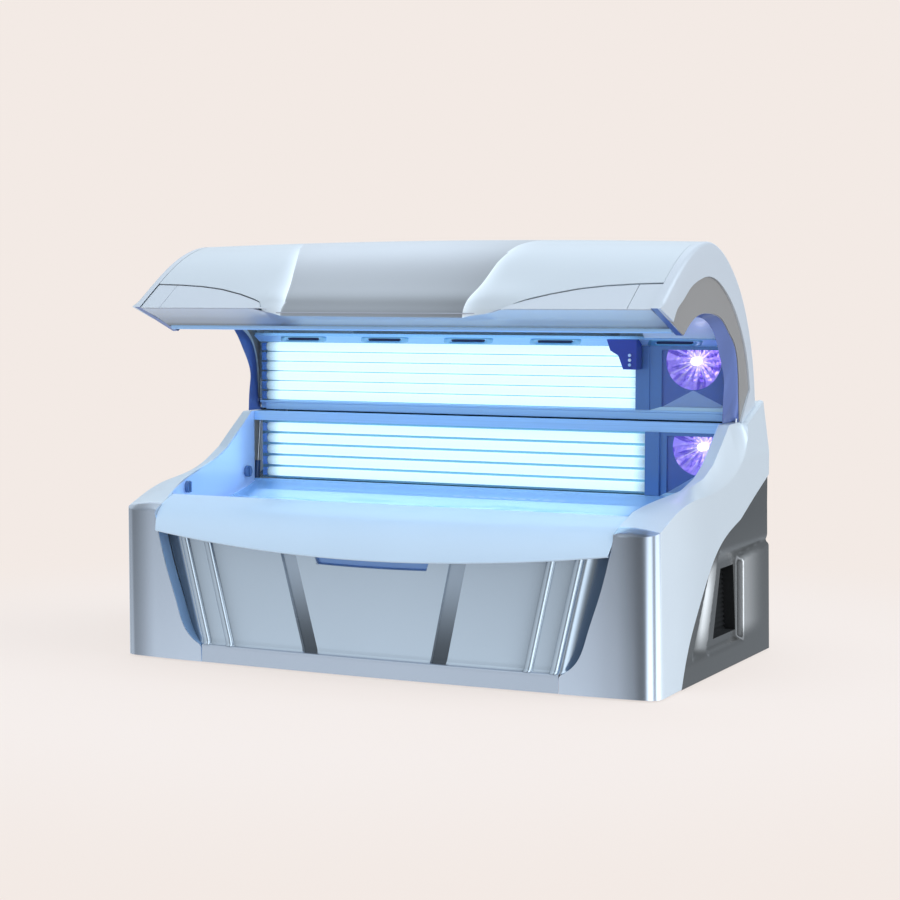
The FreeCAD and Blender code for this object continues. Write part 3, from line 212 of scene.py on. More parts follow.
def shades(colour, low, high, ends=(0.3, 0.7), top=1.0):
    # ramp stops, darker and lighter, no channel over the top
    return [(at, tuple(np.minimum(np.array(colour) * share, top))) for at, share in zip(ends, (low, high))]


def spread(tree, source, low, high, fromLow=0.0, fromHigh=1.0, soft=False):
    # a value taken from one range to another
    ends = {"Value": source, "From Min": fromLow, "From Max": fromHigh, "To Min": low, "To Max": high}
    return add(tree, "MapRange", ends,
               interpolation_type="SMOOTHSTEP" if soft else "LINEAR").outputs["Result"]


def maths(tree, operation, *values, **settings):   # one sum on sockets and numbers
    return add(tree, "Math", dict(enumerate(values)), operation=operation, **settings).outputs[0]


def blend(tree, share, a, b, way="MIX"):   # colour b over colour a
    return add(tree, "Mix", {"Factor": share, "A": a, "B": b}, data_type="RGBA",
               blend_type=way).outputs["Result"]


def bump(tree, shader, source, height, strength=1.0):
    relief = add(tree, "Bump", {"Height": source, "Distance": height, "Strength": strength})
    feed(tree, shader, {"Normal": relief.outputs["Normal"]})


def lacquer(name, colour, metal=0.55, rough=0.32, coat=0.35, flake=0.01, drift=0.07, fade=None, withPaintedLight=False):
    # metallic lacquer: fine flakes lift and drop the tone, a slow drift lies over them, orange peel in the
    # gloss
    finish, tree, shader, where = newFinish(name)
    fine, slow = [ramp(tree, noise(tree, where, scale, detail),
                       shades(colour, 1 - by, 1 + by, (0.0, 1.0), 2.0))
                  for scale, detail, by in ((130.0, 0.0, flake), (2.2, 2.0, drift))]
    tone = blend(tree, 0.5, fine, slow)
    if fade:
        # painted shade, darker towards one height: low and high ends in metres, share of the tone that is left
        low, high, left = fade
        height = add(tree, "SeparateXYZ", {"Vector": where}).outputs["Z"]
        rise = spread(tree, height, 0.0, 1.0, low, high, True)
        tone = blend(tree, 1.0, tone, ramp(tree, rise, [(0.0, (left,) * 3), (1.0, (1.0,) * 3)]), "MULTIPLY")
    if withPaintedLight:
        # the piece's painted light layer (attribute tone): painted highlights and painted shade lift and lower
        # the coat along creases, flutes and corners
        paintedLightShare = add(tree, "Attribute", attribute_name="tone").outputs["Fac"]
        tone = add(tree, "VectorMath", {0: tone, "Scale": paintedLightShare}, operation="SCALE").outputs["Vector"]
    gloss = spread(tree, noise(tree, where, 9.0, 2.0), rough - 0.02, rough + 0.02)
    feed(tree, shader, {"Base Color": tone, "Roughness": gloss, "Metallic": metal, "Coat Weight": coat,
                        "Coat Roughness": 0.12})
    bump(tree, shader, noise(tree, where, 6.0, 0.0), 0.0004, 0.10)
    return finish


def moulded(name, colour, rough=0.5, metal=0.0, grain=0.00012, scale=420.0, drift=0.08):
    # moulded plastic or powder coat: fine grain in the relief, slow drift in the tone
    finish, tree, shader, where = newFinish(name)
    tone = ramp(tree, noise(tree, where, 6.0, 5.0), shades(colour, 1 - drift, 1 + drift))
    gloss = spread(tree, noise(tree, where, 30.0, 4.0), rough - 0.06, rough + 0.06)
    feed(tree, shader, {"Base Color": tone, "Roughness": gloss, "Metallic": metal})
    bump(tree, shader, noise(tree, where, scale, 2.0), grain, 0.5)
    return finish


def brushed(name, colour, rough=0.28, along=(1.5, 260.0, 260.0), metal=1.0):
    # drawn or brushed metal: noise stretched along the bar breaks the gloss into fine lines
    finish, tree, shader, where = newFinish(name)
    lines = noise(tree, where, 1.0, 4.0, along)
    feed(tree, shader, {"Base Color": ramp(tree, lines, shades(colour, 0.92, 1.06)), "Metallic": metal,
                        "Roughness": spread(tree, lines, rough - 0.06, rough + 0.08)})
    bump(tree, shader, lines, 0.00005, 0.4)
    return finish


def clearSheet(name, colour, alpha, rough=0.05, wave=0.0, waveScale=3.0):
    # clear acrylic: mostly let through, with its own gloss and a slow wave in the surface
    finish, tree, shader, where = newFinish(name)
    tone = ramp(tree, noise(tree, where, 3.0, 2.0), shades(colour, 0.96, 1.03))
    gloss = spread(tree, noise(tree, where, 20.0, 3.0), rough * 0.6, rough * 1.4)
    feed(tree, shader, {"Base Color": tone, "Roughness": gloss, "Alpha": alpha, "IOR": 1.49})
    if wave:
        bump(tree, shader, noise(tree, where, waveScale, 1.0, (0.5, 1.6, 1.0)), wave)
    return finish


lampLook = {"lit": (0.60, 0.84, 1.0), "strength": 1.35, "atEnd": 0.25, "half": 0.880, "cap": 0.012,
            "fade": 0.06}


def litTube(name, middle):
    # fluorescent tube: even glow that falls off over the last few centimetres, then a metal cap
    finish, tree, shader, where = newFinish(name)
    x = add(tree, "SeparateXYZ", {"Vector": where}).outputs["X"]
    off = maths(tree, "ABSOLUTE", maths(tree, "SUBTRACT", x, middle))
    glassEnd = lampLook["half"] - lampLook["cap"]
    glow = spread(tree, off, lampLook["strength"], lampLook["atEnd"], glassEnd - lampLook["fade"], glassEnd)
    power = maths(tree, "MULTIPLY", glow, maths(tree, "LESS_THAN", off, glassEnd))
    mottled = ramp(tree, noise(tree, where, 60.0, 2.0), [(0.2, (0.10, 0.16, 0.20)),
                                                         (0.8, (0.14, 0.20, 0.24))])
    feed(tree, shader, {"Base Color": mottled, "Emission Strength": power,
                        "Emission Color": (*lampLook["lit"], 1),
                        "Roughness": 0.25})
    return finish


# colours of the face lamps' glow, also used as a painted reflection on the reflector dishes
faceStar = {"cells": (30.0, 3.0, 1.0), "rays": (34.0, 1.3, 1.0), "rayFrom": 0.50, "rayTo": 0.64,
            "violet": (0.24, 0.17, 0.66), "pale": (0.42, 0.34, 0.86), "white": (0.95, 0.90, 1.0, 1)}


def faceted(name, deep, pale, glow):
    # violet face lamp: broken cells on the reflector, and white rays that start at the bulb and thin out to the
    # rim. On the bulb this is the lamp's own glow; on the reflector dish the glow, the cells and the rays are a
    # painted reflection of the bulb.
    finish, tree, shader, _ = newFinish(name)
    uv = add(tree, "UVMap", uv_map="dish").outputs["UV"]
    turned = add(tree, "Mapping", {"Vector": uv, "Scale": faceStar["cells"]}).outputs["Vector"]
    cells = add(tree, "TexVoronoi", {"Vector": turned, "Scale": 1.0}).outputs["Color"]
    violet = ramp(tree, cells, [(0.2, deep), (0.5, faceStar["violet"]), (0.8, faceStar["pale"])])
    rays = spread(tree, noise(tree, uv, 1.0, 2.0, faceStar["rays"]), 0.0, 1.0, faceStar["rayFrom"],
                  faceStar["rayTo"])
    outwards = add(tree, "SeparateXYZ", {"Vector": uv}).outputs["Y"]
    thin = ramp(tree, outwards, [(0.12, (1, 1, 1)), (0.45, (0.75,) * 3), (0.98, (0.15,) * 3)])
    middle = ramp(tree, outwards, [(0.14, (1, 1, 1)), (0.40, (0, 0, 0))])
    share = maths(tree, "MULTIPLY_ADD", rays, thin, middle, use_clamp=True)
    feed(tree, shader, {"Base Color": ramp(tree, cells, [(0.25, deep), (0.75, pale)]),
                        "Emission Color": blend(tree, share, violet, faceStar["white"]),
                        "Emission Strength": glow, "Metallic": 0.8, "Roughness": 0.18})
    return finish


looks = {
    "silver": lacquer("silverLacquer", (0.62, 0.67, 0.75), metal=0.78, rough=0.20, coat=0.2),
    "pillar": lacquer("pillarLacquer", (0.62, 0.67, 0.75), metal=0.78, rough=0.20, coat=0.2, withPaintedLight=True),
    "pale": lacquer("paleLacquer", (0.60, 0.65, 0.71), metal=0.30, rough=0.32),
    "side": lacquer("sideLacquer", (0.60, 0.66, 0.71), metal=0.30, rough=0.32, withPaintedLight=True),
    # hood: its fade is painted shade, darker towards the nose; its tone layer paints shade near the creases
    "hood": lacquer("hoodLacquer", (0.67, 0.71, 0.76), metal=0.55, rough=0.32, fade=(1.36, 1.60, 0.60),
                    withPaintedLight=True),
    "panel": lacquer("panelLacquer", (0.58, 0.65, 0.72), metal=0.80, rough=0.20, coat=0.2, withPaintedLight=True),
    # painted shade: the channel's colour is darker than the panel and fades darker still towards its foot
    "channel": lacquer("channelPaintedShade", (0.40, 0.46, 0.53), metal=0.7, rough=0.24, fade=(0.10, 0.44, 0.20)),
    "grip": lacquer("gripLacquer", (0.20, 0.36, 0.70), metal=0.3, rough=0.30),
    "return": lacquer("returnLacquer", (0.34, 0.55, 0.86), metal=0.2, rough=0.30),
    # painted light: the lip's pale blue stands in for the lamps' glow on a pale cover, and its fade is painted
    # shade towards the hem
    "lip": lacquer("lipPaintedLampGlow", (0.62, 0.79, 0.96), metal=0.05, rough=0.32, fade=(0.38, 0.62, 0.88)),
    "dark": lacquer("darkLacquer", (0.135, 0.13, 0.125), metal=0.90, rough=0.22, coat=0.3, withPaintedLight=True),
    "taupe": lacquer("taupeLacquer", (0.30, 0.28, 0.265), metal=0.4, rough=0.42),
    "soffit": lacquer("soffitLacquer", (0.42, 0.44, 0.50), metal=0.5, rough=0.30, withPaintedLight=True),
    "liner": lacquer("linerLacquer", (0.07, 0.115, 0.34), metal=0.3, rough=0.30),
    "innerWall": lacquer("innerWallLacquer", (0.52, 0.64, 0.90), metal=0.2, rough=0.32),
    "slate": lacquer("slatePane", (0.09, 0.20, 0.46), metal=0.35, rough=0.22),
    "ceiling": lacquer("ceilingSheet", (0.66, 0.78, 0.90), metal=0.1, rough=0.35),
    "shelf": lacquer("shelfSheet", (0.45, 0.66, 0.82), metal=0.3, rough=0.32),
    "slotFrame": lacquer("slotFrameLacquer", (0.14, 0.36, 0.55), metal=0.4, rough=0.3),
    "slotDark": moulded("slotDark", (0.010, 0.016, 0.06), rough=0.5),
    "black": moulded("blackPlastic", (0.012, 0.012, 0.013), rough=0.5),
    "ventBlack": moulded("ventBlack", (0.003, 0.003, 0.003), rough=0.95),
    "navy": moulded("navyPlastic", (0.02, 0.045, 0.30), rough=0.22, grain=0.00004),
    "knob": moulded("knobPlastic", (0.09, 0.17, 0.36), rough=0.25, grain=0.00004),
    "holder": moulded("holderPlastic", (0.05, 0.16, 0.50), rough=0.35),
    "white": moulded("whitePlastic", (0.62, 0.74, 0.82), rough=0.4),
    "rubber": moulded("footRubber", (0.02, 0.02, 0.02), rough=0.75),
    "frame": moulded("framePaint", (0.30, 0.31, 0.33), rough=0.5),
    "gloss": moulded("springCylinder", (0.08, 0.16, 0.36), rough=0.2, grain=0.00002),
    "ballast": moulded("ballastPaint", (0.55, 0.55, 0.52), rough=0.35),
    "zinc": brushed("zincSheet", (0.5, 0.51, 0.52), rough=0.38, along=(40.0, 60.0, 60.0)),
    "rail": brushed("railAluminium", (0.36, 0.60, 0.92), rough=0.30, metal=0.25),
    "steel": brushed("platedSteel", (0.42, 0.43, 0.45), rough=0.3, along=(80.0, 80.0, 80.0)),
    "chrome": brushed("chromeRod", (0.75, 0.76, 0.78), rough=0.1, along=(60.0, 4.0, 4.0)),
    "mirror": brushed("reflectorSheet", (0.22, 0.50, 0.66), rough=0.3, along=(1.0, 90.0, 90.0), metal=0.7),
    "glass": clearSheet("wallAcrylic", (0.55, 0.80, 1.0), 0.06),
    "bench": clearSheet("benchAcrylic", (0.35, 0.60, 0.95), 0.52, rough=0.03, wave=0.010, waveScale=2.6),
    "filter": clearSheet("filterGlass", (0.16, 0.20, 0.62), 0.18),
    "baseLamp": litTube("baseTube", -0.125),
    "canopyLamp": litTube("canopyTube", -0.170),
    "bulb": faceted("bulbGlow", (0.75, 0.6, 1.0), (1.0, 0.95, 1.0), 3.0),
    "facetPaintedGlow": faceted("facetDishPaintedGlow", (0.10, 0.05, 0.40), (0.45, 0.30, 0.85), 0.85),
    "green": moulded("greenButton", (0.35, 0.55, 0.80), rough=0.25),
    "amber": moulded("amberButton", (0.45, 0.60, 0.85), rough=0.25),
}
print("finishes made:", len(looks))


# ---- canopy: outer skin

canopy = {
    "line": [(-0.517, 1.379), (-0.392, 1.462), (-0.247, 1.549), (-0.100, 1.606), (0.030, 1.623),
             (0.170, 1.596),
             (0.290, 1.536), (0.400, 1.452), (0.490, 1.345), (0.560, 1.215), (0.600, 1.090), (0.617, 0.994)],
    "hoodNose": [(-0.500, 1.357), (-0.497, 1.376)],
    "half": 1.061, "crown": 0.015, "crownFrom": 1.379, "crownTo": 1.623, "wall": 0.004,
    "leftCrease": [(-0.470, -0.560), (-0.430, -0.477), (-0.471, -0.355), (-0.509, -0.250), (-0.619, 0.005),
                   (-0.66, 0.20), (-0.68, 0.65)],
    "rightCrease": [(0.312, -0.560), (0.328, -0.468), (0.342, -0.365), (0.356, -0.257), (0.389, -0.122),
                    (0.45, 0.02), (0.52, 0.20), (0.56, 0.65)],
    "drop": 0.014, "flankLow": 0.135, "flankHigh": 0.050, "noseShare": 0.10,
    "edge": [(-1.061, 1.470), (-0.965, 1.467), (-0.851, 1.460), (-0.75, 1.449), (-0.652, 1.431),
             (-0.568, 1.411),
             (-0.537, 1.402), (-0.524, 1.390), (-0.512, 1.366), (-0.498,
                                                                 1.357), (0.425, 1.357), (0.455, 1.365),
             (0.490, 1.380), (0.523, 1.396), (0.568, 1.411), (0.652, 1.431), (0.75, 1.449), (0.851, 1.460),
             (0.965, 1.467), (1.061, 1.470)],
}


def canopyProfiles():
    # two noses, hood and trim, that share one line behind the front edge; share 0 is the edge, 1 the foot at
    # the back
    noseSteps, backSteps, tables = 60, 600, []
    for nose in (canopy["hoodNose"], canopy["line"][:1]):
        whole = curveThrough(nose + canopy["line"][1:], 2 * backSteps)
        split = int(np.argmin(np.linalg.norm(whole - np.array(canopy["line"][1]), axis=1)))
        at = [np.linspace(0, canopy["noseShare"], noseSteps),
              np.linspace(canopy["noseShare"], 1, backSteps)[1:]]
        line = [evenly(whole[:split + 1], noseSteps), evenly(whole[split:], backSteps)[1:]]
        tables.append((np.concatenate(at), np.concatenate(line)))
    return tables


(hoodAt, hoodLine), (trimAt, trimLine) = canopyProfiles()
trimNormal = leftOf(trimLine)


def skinPoint(x, share, depth, blendTo=0.66):
    # point of the skin: the nose blends from hood to trim with x, the crown lifts the middle by 1 - x
    # squared,
    # depth goes inwards along the line's normal
    trim = smoothStep(0.40, blendTo, np.abs(x))
    y, z = [np.interp(share, hoodAt, hoodLine[:, k]) * (1 - trim) + np.interp(share, trimAt,
                                                                              trimLine[:, k]) * trim
            for k in (0, 1)]
    lift = canopy["crown"] * (1 - (x / canopy["half"]) ** 2) * smoothStep(canopy["crownFrom"],
                                                                          canopy["crownTo"], z)
    return gridOf(x, y - np.interp(share, trimAt, trimNormal[:, 0]) * depth,
                  z + lift - np.interp(share, trimAt, trimNormal[:, 1]) * depth)


def creaseX(side, y):
    line = np.array(canopy[side])
    return np.interp(y, line[:, 1], line[:, 0])


def skinEdge(x):   # share along the profile where the wing or hood ends above the trim
    height = along(canopy["edge"], x)
    front = trimAt < 0.5
    trim = smoothStep(0.42, 0.56, np.abs(x))
    return np.interp(height, hoodLine[hoodAt < 0.5, 1], hoodAt[hoodAt < 0.5]) * (1 - trim) \
        + np.interp(height, trimLine[front, 1], trimAt[front]) * trim


def canopySkin():
    # one shell: columns run between the ends and the two creases, rows from the front edge over the top
    # inside the creases it lies lower by a drop that fades out towards the top, and each flank eases up to
    # the wing
    rows = np.concatenate([np.linspace(0, 0.12, 26), np.linspace(0.12, 1, 130)[1:]])[None, :]
    near = np.linspace(0, 1, 50)[:, None] ** 1.7
    middle = np.linspace(0, 1, 100)[:, None]
    half = canopy["half"]
    patches = []
    for part in ("left", "hood", "right"):
        share = rows
        for _ in range(4):
            y = np.interp(share, hoodAt, hoodLine[:, 0])
            left, right = creaseX("leftCrease", y), creaseX("rightCrease", y)
            if part == "left":
                x = left + (-half - left) * near
            elif part == "right":
                x = right + (half - right) * near
            else:
                x = left + (right - left) * middle
            start = skinEdge(x)
            share = start + (1 - start) * rows
        fadeLeft = canopy["drop"] * (1 - smoothStep(-0.45, 0.0, y))
        fadeRight = canopy["drop"] * 1.25 * (1 - smoothStep(-0.40, -0.08, y))
        flank = canopy["flankLow"] + (canopy["flankHigh"] - canopy["flankLow"]) * smoothStep(-0.48, -0.10, y)
        if part == "hood":
            across = (x - left) / (right - left)
            depth = fadeLeft * (1 - across) + fadeRight * across
        elif part == "left":
            depth = fadeLeft * (1 - np.clip((left - x) / (flank * 0.7), 0, 1)) ** 2
        else:
            depth = fadeRight * (1 - np.clip((x - right) / flank, 0, 1)) ** 2
        patches.append(skinPoint(x, share, depth))
    return wall(meshPiece("canopySkin", patches, (0, 0.15, 1.2), sharp=18), canopy["wall"], 0.0012)


def skinPaintedLight(x, y, z):
    # painted highlight: each flank is brightest on its crease and fades out on the wing; painted shade: the hood
    # darkens towards both creases
    left, right = creaseX("leftCrease", y), creaseX("rightCrease", y)
    front = 1 - smoothStep(-0.36, 0.02, y)
    tone = 1 + 0.75 * front * np.exp(-np.clip(x - right, 0, 1) / 0.030) * (x >= right - 0.0004)
    tone += 0.65 * front * np.exp(-np.clip(left - x, 0, 1) / 0.022) * (x <= left + 0.0004)
    hood = (x > left + 0.0004) & (x < right - 0.0004)
    return tone - hood * (0.26 * np.exp(-(right - x) / 0.20) + 0.06 * np.exp(-(x - left) / 0.10))


skin = settle(canopySkin(), "canopy", looks["side"], "pale_cover", "canopy_hood", "canopy_wing_right",
              "canopy_wing_left")
paintedLightLayer(skin, skinPaintedLight, mirrored=False)
secondFinish(skin.data, "hood", lambda x, y, z: (x > creaseX("leftCrease",
                                                             y)) & (x < creaseX("rightCrease", y)))


def trimPatch(xFrom, xTo):
    # nose band under a wing: from the front edge up to just short of the wing's edge
    x = np.linspace(xFrom, xTo, 50)[:, None]
    rise = np.linspace(0, 1, 14)[None, :]
    top = np.maximum(skinEdge(x) - 0.0028, 0.004)
    return skinPoint(x, top * rise, 0.0035, 0.52)


def cornerTrims():
    # four bands, a long one and a short corner one at each end, with a seam between them
    bands = []
    for sign in (1, -1):
        bands.append(trimPatch(sign * 0.489, sign * 0.9715))
        bands.append(trimPatch(sign * 0.9735, sign * 1.0605))
    return wall(meshPiece("cornerTrims", bands, (0, 0.15, 1.2)), 0.003, 0.0008)


settle(cornerTrims(), "canopy", looks["pale"], "pale_cover", "corner_trims")


def bar(name, outline, xFrom, xTo, steps=2, sharp=30):
    # a closed outline in Y and Z carried along X, its ends filled
    ring = np.array(list(outline) + [outline[0]], float)
    x = np.linspace(xFrom, xTo, steps)[:, None]
    side = gridOf(x, ring[None, :, 0], ring[None, :, 1])
    centre = ring[:-1].mean(0)
    ends = []
    for at in (xFrom, xTo):
        share = np.array([0.0, 1.0])[:, None]
        ends.append(gridOf(at, centre[0] + (ring[None, :, 0] - centre[0]) * share,
                           centre[1] + (ring[None, :, 1] - centre[1]) * share))
    return meshPiece(name, [side] + ends, ((xFrom + xTo) / 2, centre[0], centre[1]), sharp=sharp)


def arcPoints(centre, radius, fromDegrees, toDegrees, count):
    turn = np.radians(np.linspace(fromDegrees, toDegrees, count))
    return np.stack([centre[0] + radius * np.cos(turn), centre[1] + radius * np.sin(turn)], 1)


soffit = {"half": 1.0610, "sheet": [(-0.508, 1.3725), (-0.400, 1.3375), (-0.318, 1.3045)], "thick": 0.004,
          "hoodDrop": 0.016, "hoodBack": 0.012, "rail": (-0.285, 1.304), "railRadius": 0.0165}


def canopySoffit():
    # sloped sheet under the nose, from the trims in to the lamp rail; under the hood its front edge lies
    # lower
    x = np.linspace(-soffit["half"], soffit["half"], 60)[:, None]
    t = np.linspace(0, 1, 12)[None, :]
    y, z = [np.interp(t, [0, 0.5, 1], np.array(soffit["sheet"])[:, k]) for k in (0, 1)]
    underHood = (1 - smoothStep(0.46, 0.52, np.abs(x + 0.035))) * (1 - t) ** 2
    sheet = gridOf(x, y + soffit["hoodBack"] * underHood, z - soffit["hoodDrop"] * underHood)
    return wall(meshPiece("canopySoffit", [sheet], (0, -0.4, 1.5)), soffit["thick"], 0.0008)


def canopyLampRail():
    # rounded bar along the inner edge of the soffit
    y, z = soffit["rail"]
    r = soffit["railRadius"]
    outline = np.concatenate([arcPoints((y, z - 0.002), r * 0.86, 180, 360, 14),
                              [(y + r, z + 0.018), (y - r, z + 0.018)]])
    return bar("canopyLampRail", outline, -soffit["half"], soffit["half"], 40)


# painted light under the nose, painted shade inwards, and a painted dark shade line along the lamp rail
def soffitPaintedShade(x, y, z):   # lighter under the nose, darker inwards, and a dark line along the lamp rail
    inwards = (y - soffit["sheet"][0][0]) / (soffit["sheet"][2][0] - soffit["sheet"][0][0])
    return 1.15 - 0.55 * inwards - 0.40 * smoothStep(0.86, 0.95, inwards)


under = settle(canopySoffit(), "canopy", looks["soffit"], "rail_aluminium", "canopy_front_rail")
paintedLightLayer(under, soffitPaintedShade)
settle(canopyLampRail(), "canopy", looks["rail"], "rail_aluminium")
railNose = {"half": 1.030, "outline": [(0.4058, 0.9310), (0.4058, 0.9618), (0.3965, 0.9618), (0.3945, 0.9595),
                                       (0.3945, 0.9330), (0.3965, 0.9310)]}
nose = bar("rearRailNose", railNose["outline"], -railNose["half"], railNose["half"], 30)
settle(wall(nose, 0.001, 0), "canopy", looks["rail"], "rail_aluminium")
print("canopy skin and nose done")


# ---- canopy: end caps

cap = {
    "inner": 1.062, "outer": 1.0985, "bevel": 0.016, "recess": 0.012, "plate": 0.004,
    "face": [(-0.376, 1.331), (-0.335, 1.376), (-0.281, 1.403), (-0.198, 1.448), (-0.098, 1.479),
             (0.004, 1.493),
             (0.094, 1.485), (0.219, 1.440), (0.317, 1.381), (0.417, 1.291), (0.495, 1.180), (0.540, 1.050)],
    "mouth": [(-0.245, 1.279), (-0.203, 1.304), (-0.132, 1.336), (-0.044, 1.354), (0.078, 1.354),
              (0.219, 1.322),
              (0.285, 1.282), (0.366, 1.226), (0.404, 1.150), (0.418, 1.040), (0.428, 0.930)],
    "blade": [(-0.245, 1.279), (-0.203, 1.304), (-0.132, 1.330), (-0.044, 1.342), (0.060, 1.335),
              (0.150, 1.302),
              (0.212, 1.252), (0.256, 1.195), (0.292, 1.145), (0.311, 1.106), (0.316, 1.075), (0.311, 1.043),
              (0.304, 1.000), (0.299, 0.930)],
    "heel": [(0.637, 0.952), (0.614, 0.886), (0.560, 0.862), (0.500, 0.890)], "foot": [(0.428, 0.930)],
    "rimShare": 0.6, "rimLift": 0.004, "rimDrop": 0.001, "fit": 0.0015, "dish": 0.002,
}


def capPaths(count):
    # outer: tip, over the top, down the back and round the hinge; the others run from the same tip to the
    # same foot
    heel = curveThrough([tuple(trimLine[-1])] + cap["heel"], 30)
    paths = {"outer": np.concatenate([evenly(trimLine, 300), heel[1:], cap["foot"]])}
    for name in ("face", "mouth", "blade"):
        foot = [cap["foot"]] * (name != "mouth")   # the mouth's own line ends on it
        paths[name] = np.concatenate([paths["outer"][:1], curveThrough(cap[name], 200)] + foot)
    return {name: evenly(path, count) for name, path in paths.items()}


def endCap(name, sign):
    # rings that share one parameter: skin edge, bevel, rim, recess wall, recess floor, mouth
    count = 240
    paths = capPaths(count)
    outer, face = paths["outer"], paths["face"]
    t = np.linspace(0, 1, count)
    inward = -leftOf(outer) * (smoothStep(0, 0.03, t) * (1 - smoothStep(0.97, 1, t)))[:, None]
    rings = [(cap["inner"], outer), (cap["outer"] - cap["bevel"], outer)]
    for turn in np.radians(np.linspace(15, 90, 6)):
        rings.append((cap["outer"] - cap["bevel"] * (1 - math.sin(turn)),
                      outer + inward * cap["bevel"] * (1 - math.cos(turn))))
    floor = cap["outer"] - cap["recess"]
    rings += [(cap["outer"], outer + (face - outer) * cap["rimShare"] + inward * cap["rimLift"]),
              (cap["outer"] - cap["rimDrop"], face), (floor, face), (floor, paths["mouth"])]
    x = np.array([at for at, _ in rings])[None, :] * sign
    y, z = [np.stack([ring[:, k] for _, ring in rings], 1) for k in (0, 1)]
    return meshPiece(name, [gridOf(x, y, z)], (0, 0.15, 1.1), sharp=35)


def capLining(name, sign):
    # inside of the arch: from the mouth inwards to the blade, hollowed a little on the way
    paths = capPaths(240)
    across = np.linspace(0, 1, 9)[None, :]
    floor = cap["outer"] - cap["recess"]
    line = paths["mouth"][:, None, :] + (paths["blade"] - paths["mouth"])[:, None,
                                                                          :] * (across ** 1.3)[..., None]
    lining = gridOf(sign * (floor + (cap["inner"] - floor) * across), line[..., 0], line[..., 1])
    return meshPiece(name, [lining], (sign * 1.08, 0.10, 1.6), sharp=40)


def endFace(name, sign):
    # dark plate in the recess, dished a little between its rim and the mouth
    face, mouth = [curveThrough(cap[key], 160) for key in ("face", "mouth")]
    across = np.linspace(0, 1, 10)[None, :, None]
    a = (face - leftOf(face) * cap["fit"])[:, None, :]
    b = (mouth + leftOf(mouth) * cap["fit"])[:, None, :]
    flat = a + (b - a) * across
    x = cap["outer"] - cap["recess"] + cap["plate"] - cap["dish"] * np.sin(np.pi * across[..., 0])
    plate = gridOf(sign * x, flat[..., 0], flat[..., 1])
    return wall(meshPiece(name, [plate], (0, 0.15, 1.1)), 0.003, 0.0008)


for side, sign in (("Right", 1), ("Left", -1)):
    settle(endCap("endCap" + side, sign), "canopy", looks["pale"], "pale_cover",
           "canopy_end_cap_" + side.lower())
    settle(capLining("capLining" + side, sign), "canopy", looks["liner"], "navy_plastic")
    replaced = ["canopy_end_faces"] if sign > 0 else []
    settle(endFace("endFace" + side, sign), "canopy", looks["taupe"], "dark_panel", *replaced)
print("end caps done")


# ---- base: end housings

housing = {
    "cornerEnd": -0.532, "low": 0.006, "top": 0.598, "shoulder": 0.800, "earTop": 1.010, "back": 0.665,
    "footBack": 1.150, "headBack": 1.141, "earBack": 1.113,
    "footNose": [(0.700, -0.586), (0.900, -0.581), (1.025, -0.572), (1.084, -0.562), (1.104, -0.550),
                 (1.115, -0.531), (1.119, -0.505)],
    "headNose": [(0.700, -0.600), (0.900, -0.593), (1.020, -0.582), (1.078, -0.570), (1.098, -0.558),
                 (1.108, -0.540), (1.111, -0.515)],
    "edge": [(0.750, 0.0), (0.750, 0.070), (0.776, 0.085), (0.818, 0.125), (0.858, 0.225), (0.904, 0.365),
             (0.941, 0.506),
             (0.958, 0.598), (0.960, 0.64)],
    "crease": [(-0.640, 0.566), (-0.529, 0.598), (-0.430, 0.632), (-0.244, 0.674), (-0.120, 0.682),
               (0.0, 0.688),
               (0.125, 0.703), (0.249, 0.736), (0.345, 0.788), (0.408,
                                                                0.854), (0.437, 0.924), (0.664, 1.000)],
    "blade": [(-0.640, 0.952, 0.566), (-0.529, 0.958, 0.612), (-0.430, 0.972, 0.655), (-0.300, 1.010, 0.684),
              (-0.140, 1.062, 0.707), (0.0, 1.088, 0.742), (0.100, 1.092, 0.786), (0.200, 1.092, 0.856),
              (0.300, 1.090, 0.926), (0.437, 1.090, 0.929), (0.664, 1.090, 1.002)],
    "inner": [(0.958, -0.600), (0.958, -0.500), (0.970, -0.445), (1.000, -0.330), (1.046, -0.140),
              (1.050, 0.0),
              (1.050, 0.664)],
    "sweep": [(-0.335, 0.0), (-0.261, 0.142), (-0.152, 0.273), (0.076, 0.476), (0.322, 0.560)],
    "sweepEnd": [(0.500, 0.640), (0.664, 0.709)],
    "innerFrom": -0.585, "innerCorner": -0.500, "innerBack": 0.664, "topCrown": 0.004, "innerDrop": 0.03,
    "returns": [0.062, 0.04, 0.02, 0.003],
}


footLine, headLine = curveThrough(housing["footNose"], 400), curveThrough(housing["headNose"], 400)


def noseAt(z, along):
    # plan line of the housing's front at a height: foot and head lines blended, along 0 to 1
    share = np.clip((z - housing["low"]) / (housing["top"] - housing["low"]), 0, 1)
    at = np.linspace(0, 1, len(footLine))
    return [np.interp(along, at, footLine[:, k]) * (1 - share) + np.interp(along, at, headLine[:, k]) * share
            for k in (0, 1)]


pillarEdge = np.concatenate([housing["edge"][:1], curveThrough(housing["edge"][1:], 200)])


def edgeX(z):   # half width between the pillars at a height
    return np.interp(z, pillarEdge[:, 1], pillarEdge[:, 0])


def noseStart(z):   # how far along the front line the pillar's inner edge lies, at a height
    target = edgeX(z)
    low, high = np.zeros_like(target), np.ones_like(target)
    for _ in range(24):
        middle = (low + high) / 2
        short = noseAt(z, middle)[0] < target
        low, high = np.where(short, middle, low), np.where(short, high, middle)
    return (low + high) / 2


